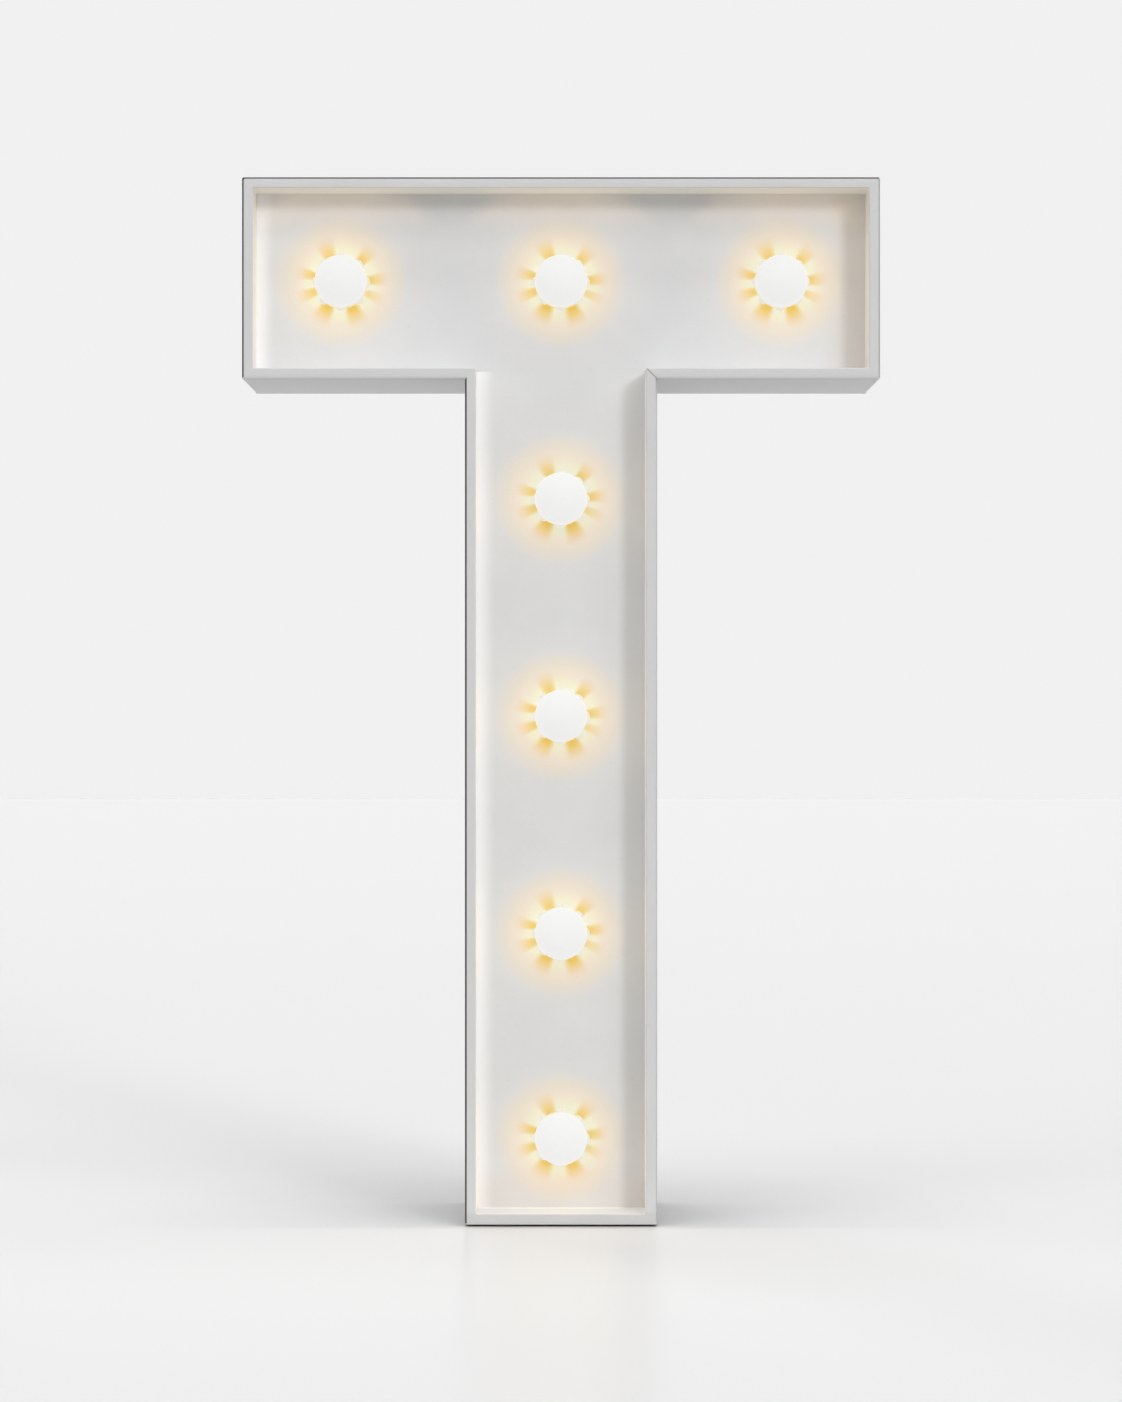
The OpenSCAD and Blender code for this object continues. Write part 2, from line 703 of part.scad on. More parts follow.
module switch_slider() {
    color(black) translate([on_x, 0, 0]) {
        centred_box(shuttle_l, shuttle_y, shuttle_y + shuttle_t, switch_z, shuttle_w);
        difference() {
            centred_box(knob_l, shuttle_y, rear_y - slip, switch_z, knob_w);
            for (k = [-1:1]) translate([k * knob_l / 4, 0, 0])
                centred_box(knob_l / 10, rear_y - slip - 0.3, rear_y + 1, switch_z, knob_w + 1);
        }
    }
}

module switch_wiper() {
    color(nickel) translate([on_x, 0, 0]) {
        centred_box(terminal_pitch + 1.4, shuttle_y - wiper_t, shuttle_y, switch_z, knob_w / 2);
        for (side = [-1, 1])
            translate([side * terminal_pitch / 2, shuttle_y - wiper_t, switch_z - knob_w / 4])
                cylinder(h = knob_w / 2, r = wiper_bump_r);
    }
}

module switch_screws() {
    color(steel) for (side = [-1, 1])
        screw(side * ear_pitch / 2, pad_y - can_sheet, switch_z, 1,
            ear_screw_d, ear_screw_l + can_sheet, ear_screw_head_d, ear_screw_head_h);
}

// Wiring
module bus(colour, y, side, top_z) {
    color(colour) {
        translate([side * bus_offset, y, low_lamp_z - bus_overrun])
            cylinder(h = top_z - wire_d / 2 - wire_slack - low_lamp_z + bus_overrun, d = wire_d);
        translate([-bar_pitch - bus_overrun, y, top_z]) rotate([0, 90, 0])
            cylinder(h = 2 * (bar_pitch + bus_overrun), d = wire_d);
    }
}

module switch_lead() {
    color(red) {
        tube(switch_route, wire_d, 8);
        tube(join_route, wire_d, 8);
    }
}

module resistor() {
    color(tan_body) translate(resistor_at) {
        translate([0, 0, -resistor_wire_l])
            cylinder(h = resistor_l + 2 * resistor_wire_l, d = resistor_wire_d);
        cylinder(h = resistor_l, d = resistor_d * 0.84);
        for (low = [0, resistor_l * 0.74])
            translate([0, 0, low]) cylinder(h = resistor_l * 0.26, d = resistor_d);
    }
}

side_band();
face_panel();
back_cover();
battery_door();
cover_screws();
for (i = [0:len(lamps) - 1]) {
    bulb(i);
    bulb_ring(i);
    led(i);
}
cell(-cell_x, cell_1_low_z, true);  // battery_1
cell(cell_x, cell_2_low_z, false);  // battery_2
tail_contact(-cell_x);  // contact_positive
tail_contact(cell_x);  // contact_negative
contact_bridge();
contact_spring(-cell_x, pocket_low_z + contact_t, true);  // contact_spring_1
contact_spring(cell_x, pocket_high_z - contact_t, false);  // contact_spring_2
switch_frame();
switch_base();
switch_terminals();
switch_slider();
switch_wiper();
switch_screws();
bus(red, positive_y, -1, bar_mid_z + bus_offset);  // positive_bus
bus(black, negative_y, 1, bar_mid_z - bus_offset);  // negative_bus
color(red) tube(positive_route, wire_d, 8);  // positive_lead
color(black) tube(negative_route, wire_d, 8);  // negative_lead
switch_lead();
resistor();
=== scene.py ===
"""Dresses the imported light-up letter T.

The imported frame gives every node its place. This script rounds the band, fits the glowing caps, the
cells, the springs and the leads, gives every node its finish, and sets the floor, light and camera.
Lengths are in metres unless a name ends in _mm. +X is right, -Y is the front and +Z is up.
"""

import logging
import math
from dataclasses import dataclass, field
from enum import Enum
from typing import Any

import bmesh
import bpy
import numpy as np
from bpy.types import Material, Mesh, Node, NodeSocket, NodeTree, Object
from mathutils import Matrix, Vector

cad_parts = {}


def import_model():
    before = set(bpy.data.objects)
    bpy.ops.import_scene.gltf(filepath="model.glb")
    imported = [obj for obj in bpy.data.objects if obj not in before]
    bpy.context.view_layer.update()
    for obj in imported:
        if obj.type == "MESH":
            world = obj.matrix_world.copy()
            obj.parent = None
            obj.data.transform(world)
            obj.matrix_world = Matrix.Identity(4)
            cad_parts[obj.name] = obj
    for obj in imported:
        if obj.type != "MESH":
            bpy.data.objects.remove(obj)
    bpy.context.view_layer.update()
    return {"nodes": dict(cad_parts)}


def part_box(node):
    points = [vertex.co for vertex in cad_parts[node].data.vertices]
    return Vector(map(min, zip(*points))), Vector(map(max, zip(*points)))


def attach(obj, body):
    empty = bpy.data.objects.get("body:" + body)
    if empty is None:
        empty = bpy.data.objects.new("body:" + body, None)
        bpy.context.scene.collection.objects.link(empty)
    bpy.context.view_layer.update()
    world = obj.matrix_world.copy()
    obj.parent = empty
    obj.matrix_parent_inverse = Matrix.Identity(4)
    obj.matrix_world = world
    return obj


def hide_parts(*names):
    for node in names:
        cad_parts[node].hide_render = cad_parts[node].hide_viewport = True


LOG = logging.getLogger("letter")
MM = 0.001
LAMP_COUNT = 7
SHARP_DEG = 35.0
RIGHT = np.array([1.0, 0.0, 0.0])
FRONT = np.array([0.0, -1.0, 0.0])
UP = np.array([0.0, 0.0, 1.0])
Triple = tuple[float, float, float]
Colour = Triple
Span = tuple[float, float]
Route = tuple[Triple, ...]


class Body(Enum):
    """Bodies of the frame that a piece can ride on."""

    HOUSING = "housing"
    DOOR = "battery_door"
    SLIDER = "switch_slider"


class Slot(Enum):
    """Names of the record's material slots, held by each fitting; pieces take their finish from the material
    given.
    """

    BAND = "band_white"
    COVER = "cover_white"
    CAP = "cap_milky"
    SCREW = "screw_steel"
    CELL = "cell_jacket"
    SPRING = "spring_steel"
    CAN = "can_steel"
    KNOB = "knob_black"
    WIRE_RED = "wire_red"
    WIRE_BLACK = "wire_black"


@dataclass
class Shape:
    """Points of shape (n, 3), arrays of faces of one kind each, and named values of the points."""

    points: np.ndarray
    faces: list[np.ndarray]
    values: dict[str, np.ndarray] = field(default_factory=dict)

    def outward(self) -> "Shape":
        """Turns the faces round where the volume, a sum of tetrahedra from the origin, is below zero.

        Returns:
            The shape itself.
        """
        corners = [self.points[rows] for rows in self.faces]
        if sum((c[:, :1] * np.cross(c[:, 1:-1], c[:, 2:])).sum() for c in corners) < 0.0:
            self.faces = [rows[:, ::-1] for rows in self.faces]
        return self


def grid_faces(rows: int, columns: int) -> np.ndarray:
    """Quads of a grid of points stored row by row, whose columns close into a ring.

    Args:
        rows: Number of rows.
        columns: Number of points in each row.

    Returns:
        Indices, four for each quad.
    """
    row, column = np.meshgrid(np.arange(rows - 1), np.arange(columns), indexing="ij")
    here, above, after = row * columns, (row + 1) * columns, (column + 1) % columns
    return np.stack([here + column, here + after, above + after, above + column], axis=-1).reshape(-1, 4)


def end_faces(rows: int, columns: int) -> np.ndarray:
    """Returns the indices of the two faces that close the first and last row of such a grid."""
    ring = np.arange(columns)
    return np.stack([ring[::-1], (rows - 1) * columns + ring])


def lathe(radius: np.ndarray, height: np.ndarray, centre: np.ndarray, axis: np.ndarray) -> Shape:
    """Turns a profile about an axis: point = centre + axis * height + radius * (cos t * u + sin t * v).

    Args:
        radius: Radius of each profile row at each angle, shape (rows, sides).
        height: Height of each profile row along the axis; the first and last rows are poles.
        centre: Point on the axis at height 0.
        axis: Unit vector along the axis, square to u, which points right.

    Returns:
        A closed shape, with the height of each point as the value "along".
    """
    sides, rows = radius.shape[1], len(height) - 2
    angle = np.linspace(0.0, 2.0 * np.pi, sides, endpoint=False)
    spoke = np.cos(angle)[:, None] * RIGHT + np.sin(angle)[:, None] * np.cross(axis, RIGHT)
    rings = centre + height[1:-1, None, None] * axis + radius[1:-1, :, None] * spoke
    poles = centre + height[[0, -1], None] * axis
    step = np.arange(sides)
    after = (step + 1) % sides
    pole, last = np.full(sides, rows * sides), (rows - 1) * sides
    start_fan = np.stack([pole, after, step], axis=-1)
    end_fan = np.stack([pole + 1, last + step, last + after], axis=-1)
    faces = [grid_faces(rows, sides), start_fan, end_fan]
    along = np.concatenate([np.repeat(height[1:-1], sides), height[[0, -1]]])
    return Shape(np.vstack([rings.reshape(-1, 3), poles]), faces, {"along": along}).outward()


def smooth_path(points: np.ndarray, steps: int) -> np.ndarray:
    """Curve through points: each span is a cubic whose end slopes are half the step between neighbours.

    Args:
        points: Route of shape (n, 3).
        steps: Points made for each span.

    Returns:
        The finer route.
    """
    padded = np.vstack([2.0 * points[0] - points[1], points, 2.0 * points[-1] - points[-2]])
    a, b, c, d = (padded[k:len(padded) - 3 + k, None, :] for k in range(4))
    t = np.linspace(0.0, 1.0, steps, endpoint=False)[None, :, None]
    bend, twist = 2 * a - 5 * b + 4 * c - d, 3 * b - a - 3 * c + d
    curve = 0.5 * (2 * b + (c - a) * t + bend * t**2 + twist * t**3)
    return np.vstack([curve.reshape(-1, 3), points[-1:]])


def tube(path: np.ndarray, radius: float, sides: int) -> Shape:
    """Carries a circle along a path: point = path + radius * (cos t * normal + sin t * side).

    The normal is a fixed leaning vector made square to the path, so the rings are found all at once.

    Args:
        path: Points of the path, shape (n, 3).
        radius: Radius of the tube.
        sides: Points round each ring.

    Returns:
        A closed shape.
    """
    lean = np.array([0.62, 0.55, -0.56])
    tangent = np.gradient(path, axis=0)
    tangent /= np.linalg.norm(tangent, axis=1, keepdims=True)
    normal = lean - (tangent @ lean)[:, None] * tangent
    normal /= np.linalg.norm(normal, axis=1, keepdims=True)
    side = np.cross(tangent, normal)
    angle = np.linspace(0.0, 2.0 * np.pi, sides, endpoint=False)[None, :, None]
    spoke = np.cos(angle) * normal[:, None, :] + np.sin(angle) * side[:, None, :]
    rings = path[:, None, :] + radius * spoke
    faces = [grid_faces(len(path), sides), end_faces(len(path), sides)]
    return Shape(rings.reshape(-1, 3), faces).outward()


def joined(shapes: list[Shape]) -> Shape:
    """Makes one shape of several, with the faces of each counted on from the last.

    Args:
        shapes: Shapes without values.

    Returns:
        The one shape.
    """
    starts = np.cumsum([0] + [len(shape.points) for shape in shapes[:-1]])
    faces = [rows + start for shape, start in zip(shapes, starts) for rows in shape.faces]
    return Shape(np.vstack([shape.points for shape in shapes]), faces)


def shade(mesh: Mesh) -> None:
    """Shades the mesh smoothly, apart from its sharp edges."""
    mesh.shade_smooth()
    mesh.set_sharp_from_angle(angle=math.radians(SHARP_DEG))


@dataclass(frozen=True)
class Fitting:
    """How a piece sits in the letter: its finish, the nodes it replaces and its body; its slot is not used.
    """

    name: str
    material: Material
    slot: Slot
    nodes: tuple[str, ...] = ()
    body: Body = Body.HOUSING

    def place(self, mesh: Mesh) -> Object:
        """Makes a mesh a piece of the letter.

        Args:
            mesh: Mesh whose points are already in place.

        Returns:
            The new object.
        """
        mesh.name = self.name
        mesh.materials.clear()
        mesh.materials.append(self.material)
        piece = bpy.data.objects.new(self.name, mesh)
        bpy.context.scene.collection.objects.link(piece)
        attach(piece, self.body.value)
        if self.nodes:
            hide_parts(*self.nodes)
        LOG.info("%s rides on %s with %d faces", piece.name, self.body.value, len(mesh.polygons))
        return piece

    def make(self, shape: Shape) -> Object:
        """Turns a shape into a smooth-shaded piece.

        Args:
            shape: Points, faces and values of the piece.

        Returns:
            The new object.
        """
        mesh = bpy.data.meshes.new(self.name)
        mesh.from_pydata(shape.points.tolist(), [], [face for rows in shape.faces for face in rows.tolist()])
        for key, numbers in shape.values.items():
            layer = mesh.attributes.new(key, "FLOAT", "POINT")
            layer.data.foreach_set("value", numbers.astype(np.float32))
        shade(mesh)
        return self.place(mesh)


class NodeSheet:
    """Adds nodes to one node tree and joins them."""

    def __init__(self, tree: NodeTree) -> None:
        """Keeps the tree that the nodes go into."""
        self.tree = tree

    def feed(self, node: Node, inputs: dict[str | int, Any]) -> None:
        """Sets a node's inputs, or joins sockets to them.

        Args:
            node: The node.
            inputs: Values or sockets by the name or number of the input; colours have three channels.
        """
        for key, value in inputs.items():
            socket = node.inputs[key]
            if isinstance(value, NodeSocket):
                self.tree.links.new(value, socket)
            elif socket.type == "RGBA":
                socket.default_value = (*value, 1.0)
            else:
                socket.default_value = value

    def add(self, kind: str, inputs: dict[str | int, Any] | None = None, **settings: Any) -> Node:
        """Adds a node.

        Args:
            kind: Blender's name of the node type, without ShaderNode.
            inputs: Values or sockets for the node's inputs.
            **settings: Properties of the node.

        Returns:
            The node.
        """
        node = self.tree.nodes.new("ShaderNode" + kind)
        for key, value in settings.items():
            setattr(node, key, value)
        self.feed(node, inputs or {})
        return node

    def math(self, operation: str, a: Any, b: Any = 0.0, c: Any = 0.0) -> NodeSocket:
        """Returns the result of a Math node."""
        return self.add("Math", {0: a, 1: b, 2: c}, operation=operation).outputs[0]

    def product(self, a: Any, b: Any) -> NodeSocket:
        """Returns one value times another."""
        return self.math("MULTIPLY", a, b)

    def ramp(self, value: Any, low: float, high: float, at_low: float = 0.0, at_high: float = 1.0,
             ease: str = "SMOOTHSTEP") -> NodeSocket:
        """Returns a value carried from one range to another and held at both ends."""
        inputs = {0: value, 1: low, 2: high, 3: at_low, 4: at_high}
        return self.add("MapRange", inputs, interpolation_type=ease, clamp=True).outputs[0]

    def fade(self, value: Any, hold: float, reach: float) -> NodeSocket:
        """Returns 1 up to one value, falling to 0 at another."""
        return self.ramp(value, hold, reach, 1.0, 0.0)

    def mix(self, factor: Any, a: Any, b: Any, blend: str = "MIX") -> NodeSocket:
        """Returns a mix of two colours."""
        return self.add("Mix", {0: factor, 6: a, 7: b}, data_type="RGBA", blend_type=blend).outputs[2]

    def tint(self, factor: Any, colour: Any, by: Any) -> NodeSocket:
        """Returns a colour multiplied by another where the factor is 1."""
        return self.mix(factor, colour, by, "MULTIPLY")

    def scaled(self, colour: Any, level: Any) -> NodeSocket:
        """Returns a colour times a level."""
        return self.add("VectorMath", {0: colour, "Scale": level}, operation="SCALE").outputs[0]

    def noise(self, vector: Any, scale: Any, detail: float = 2.0, roughness: float = 0.5) -> NodeSocket:
        """Returns the value of a Noise Texture."""
        inputs = {"Vector": vector, "Scale": scale, "Detail": detail, "Roughness": roughness}
        return self.add("TexNoise", inputs).outputs[0]

    def bump(self, height: Any, depth: float, strength: float) -> NodeSocket:
        """Returns the normal that a height gives."""
        return self.add("Bump", {"Height": height, "Distance": depth, "Strength": strength}).outputs[0]

    def parts(self, vector: Any) -> Any:
        """Returns the outputs X, Y and Z of a vector."""
        return self.add("SeparateXYZ", {0: vector}).outputs

    def coords(self, kind: str = "Object") -> NodeSocket:
        """Returns the Object coordinates, or the normal."""
        return self.add("TexCoord").outputs[kind]

    def group(self, name: str, **inputs: Any) -> Any:
        """Returns the outputs of a shared node group that reads the Object coordinates."""
        groups = bpy.data.node_groups
        return self.add("Group", {"Vector": self.coords(), **inputs}, node_tree=groups[name]).outputs

    def shown_rays(self) -> NodeSocket:
        """Tells the rays that show the backdrop and the floor from those that light the letter.

        Returns:
            1 for rays from the camera, in gloss and through glass.
        """
        path = self.add("LightPath").outputs
        reflected = self.math("MAXIMUM", path["Is Glossy Ray"], path["Is Transmission Ray"])
        return self.math("MAXIMUM", path["Is Camera Ray"], reflected)

    def value(self, name: str) -> NodeSocket:
        """Returns a value that belongs to the piece's points."""
        return self.add("Attribute", attribute_name=name).outputs["Fac"]


def new_group(name: str, inputs: dict[str, str], *outputs: str) -> tuple[NodeSheet, Any, Node]:
    """Makes an empty shader node group.

    Args:
        name: Name of the group.
        inputs: Socket types of its inputs by name.
        *outputs: Names of its outputs, which are numbers.

    Returns:
        A sheet to add nodes with, the group's inputs to read from and its output node.
    """
    tree = bpy.data.node_groups.new(name, "ShaderNodeTree")
    for key, kind in inputs.items():
        tree.interface.new_socket(name=key, in_out="INPUT", socket_type="NodeSocket" + kind)
    for key in outputs:
        tree.interface.new_socket(name=key, in_out="OUTPUT", socket_type="NodeSocketFloat")
    return NodeSheet(tree), tree.nodes.new("NodeGroupInput").outputs, tree.nodes.new("NodeGroupOutput")


@dataclass(frozen=True)
class Effects:
    """Node groups that several finishes share and find by name."""

    pit_scale: float = 0.7
    pit_depth: float = 0.4
    cloud_scale: float = 0.03
    cloud_range: Span = (0.3, 0.7)
    hair_turn: Triple = (0.3, 0.5, 0.7)
    hair_stretch: Triple = (1.0, 14.0, 1.0)
    hair_scale: float = 260.0
    hair_range: Span = (0.66, 0.72)
    patch_scale: float = 38.0
    patch_range: Span = (0.55, 0.7)
    speck_scale: float = 900.0
    speck_range: Span = (0.72, 0.8)
    streak_stretch: Triple = (1.0, 1.0, 30.0)
    streak_scale: float = 700.0
    tarnish_scale: float = 420.0
    tarnish_range: Span = (0.45, 0.75)

    def build(self) -> None:
        """Builds each group once."""
        self.moulded_grain()
        self.handling_marks()
        self.metal_brushing()

    def moulded_grain(self) -> None:
        """Fine spark-eroded texture of a mould, with broad clouding of its gloss."""
        sheet, source, sink = new_group(
            "Moulded grain", {"Vector": "Vector", "Scale": "Float"}, "Height", "Cloud")
        vector, scale = source["Vector"], source["Scale"]
        fine = sheet.noise(vector, scale, 3.0, 0.6)
        pits = sheet.add("TexVoronoi", {"Vector": vector, "Scale": sheet.product(scale, self.pit_scale)})
        height = sheet.math("MULTIPLY_ADD", pits.outputs[0], self.pit_depth, fine)
        cloud = sheet.noise(vector, sheet.product(scale, self.cloud_scale), 3.0, 0.55)
        sheet.feed(sink, {"Height": height, "Cloud": sheet.ramp(cloud, *self.cloud_range)})

    def handling_marks(self) -> None:
        """Hair scratches in patches, and dust specks, that a shelf piece picks up."""
        sheet, source, sink = new_group("Handling marks", {"Vector": "Vector"}, "Scratch", "Dust")
        vector = source["Vector"]
        inputs = {"Vector": vector, "Rotation": self.hair_turn, "Scale": self.hair_stretch}
        hair = sheet.noise(sheet.add("Mapping", inputs).outputs[0], self.hair_scale, 1.0, 0.4)
        patch = sheet.ramp(sheet.noise(vector, self.patch_scale), *self.patch_range)
        speck = sheet.ramp(sheet.noise(vector, self.speck_scale, 1.0), *self.speck_range)
        sheet.feed(sink, {"Scratch": sheet.product(sheet.ramp(hair, *self.hair_range), patch), "Dust": speck})

    def metal_brushing(self) -> None:
        """Streaks of a rolled or plated sheet, with faint tarnish."""
        sheet, source, sink = new_group("Metal brushing", {"Vector": "Vector"}, "Streak", "Tarnish")
        vector = source["Vector"]
        drawn = sheet.add("Mapping", {"Vector": vector, "Scale": self.streak_stretch}).outputs[0]
        tarnish = sheet.ramp(sheet.noise(vector, self.tarnish_scale, 3.0), *self.tarnish_range)
        sheet.feed(sink, {"Streak": sheet.noise(drawn, self.streak_scale), "Tarnish": tarnish})


@dataclass(frozen=True)
class Finish:
    """A material with a Principled shader; each kind of finish says what the shader is fed."""

    name: str

    def inputs(self, sheet: NodeSheet) -> dict[str, Any]:
        """Returns values or sockets for the shader's inputs."""
        return {}

    def build(self) -> Material:
        """Builds the material.

        Returns:
            The material.
        """
        material = bpy.data.materials.new(self.name)
        material.use_nodes = True
        sheet = NodeSheet(material.node_tree)
        sheet.feed(material.node_tree.nodes["Principled BSDF"], self.inputs(sheet))
        return material


@dataclass(frozen=True)
class MouldedFinish(Finish):
    """Moulded plastic with a fine texture, clouded gloss, hair scratches and dust."""

    colour: Colour
    roughness: float = 0.5
    specular: float = 0.35
    grain_scale: float = 2600.0
    grain_depth: float = 0.00004
    cloud_depth: float = 0.03
    dust_depth: float = 0.05
    scratch_gloss: float = 0.1
    gloss_spread: Span = (-0.04, 0.05)
    bump_strength: float = 0.5

    def dimmed(self, share: float) -> Colour:
        """Returns the colour made darker by a share, or paler where the share is below zero."""
        return tuple(c * (1.0 - share) for c in self.colour)

    def toned(self, sheet: NodeSheet, colour: NodeSocket) -> NodeSocket:
        """Returns the colour as it is; other finishes change it over the surface."""
        return colour

    def inputs(self, sheet: NodeSheet) -> dict[str, Any]:
        """Clouds the colour and the gloss, and raises the texture.

        Args:
            sheet: Sheet of the material.

        Returns:
            Values or sockets for the shader's inputs.
        """
        grain = sheet.group("Moulded grain", Scale=self.grain_scale)
        marks = sheet.group("Handling marks")
        cloud, scratch = grain["Cloud"], marks["Scratch"]
        colour = sheet.mix(cloud, self.dimmed(self.cloud_depth), self.colour)
        colour = sheet.mix(marks["Dust"], colour, self.dimmed(self.dust_depth))
        low, high = (self.roughness + change for change in self.gloss_spread)
        gloss = sheet.ramp(cloud, 0.0, 1.0, low, high, "LINEAR")
        height = sheet.math("SUBTRACT", grain["Height"], scratch)
        return {
            "Base Color": self.toned(sheet, colour),
            "Roughness": sheet.math("MULTIPLY_ADD", scratch, -self.scratch_gloss, gloss),
            "Normal": sheet.bump(height, self.grain_depth, self.bump_strength),
            "Specular IOR Level": self.specular,
        }


@dataclass(frozen=True)
class BandFinish(MouldedFinish):
    """Lacquered strip: satin white, with a painted dark line of shade along its outer edge and a painted
    highlight where that edge looks down, painted light that makes its inside whiter, and painted shade on its
    ledges and at its foot.
    """

    # Painted shade: a dark line on the outer rounding where it looks up or left, weaker at the bar's right
    # end; low_edge_lift is a painted highlight where the rounding looks down.
    edge_shade: float = 0.06
    low_edge_lift: float = 0.3
    right_edge_share: float = 0.35
    bar_edge_z: Span = (0.172, 0.178)
    # Painted light: the inner walls get a whiter colour than the rim, which stands in for the light on them.
    inside_colour: Colour = (0.94, 0.932, 0.905)
    # Painted shade on the upward inner faces, darker and slightly cool.
    ledge_shade: Colour = (0.72, 0.735, 0.755)
    # Painted shade: the band is darker in its lowest millimetres, at the foot.
    foot_shade: float = 0.10
    foot_shade_z: Span = (0.0032, 0.0022)
    up_or_left: Span = (-0.3, 0.3)
    rightward: Span = (0.3, 0.6)
    downward: Span = (-0.5, -0.2)
    upward: Span = (0.4, 0.8)

    def toned(self, sheet: NodeSheet, colour: NodeSocket) -> NodeSocket:
        """Changes the colour by the values "edge" and "inside", by where a face looks, and at the foot.

        The edge is dark where it looks up or left, less so at the bar's right end, and pale below: painted
        shade, with a painted highlight below. The inside is painted whiter as light, its upward faces darker
        as painted shade, and the foot darker as painted shade.

        Args:
            sheet: Sheet of the material.
            colour: Colour of the moulded finish.

        Returns:
            The new colour.
        """
        edge, inside = sheet.value("edge"), sheet.value("inside")
        facing, height = sheet.parts(sheet.coords("Normal")), sheet.parts(sheet.coords())["Z"]
        lean = sheet.math("SUBTRACT", facing["Z"], facing["X"])
        right = sheet.ramp(facing["X"], *self.rightward, 0.0, self.right_edge_share)
        right = sheet.product(right, sheet.ramp(height, *self.bar_edge_z))
        dark = sheet.product(edge, sheet.math("MAXIMUM", sheet.ramp(lean, *self.up_or_left), right))
        pale = sheet.product(edge, sheet.fade(facing["Z"], *self.downward))
        colour = sheet.tint(dark, colour, (self.edge_shade,) * 3)
        colour = sheet.mix(pale, colour, self.dimmed(-self.low_edge_lift))
        # Painted light makes the inside whiter, and painted shade darkens its upward faces.
        inner = sheet.mix(sheet.ramp(facing["Z"], *self.upward), self.inside_colour, self.ledge_shade)
        # Painted shade at the foot.
        level = sheet.ramp(height, *self.foot_shade_z, 1.0, 1.0 - self.foot_shade)
        return sheet.scaled(sheet.mix(inside, colour, inner), sheet.math("MAXIMUM", level, inside))


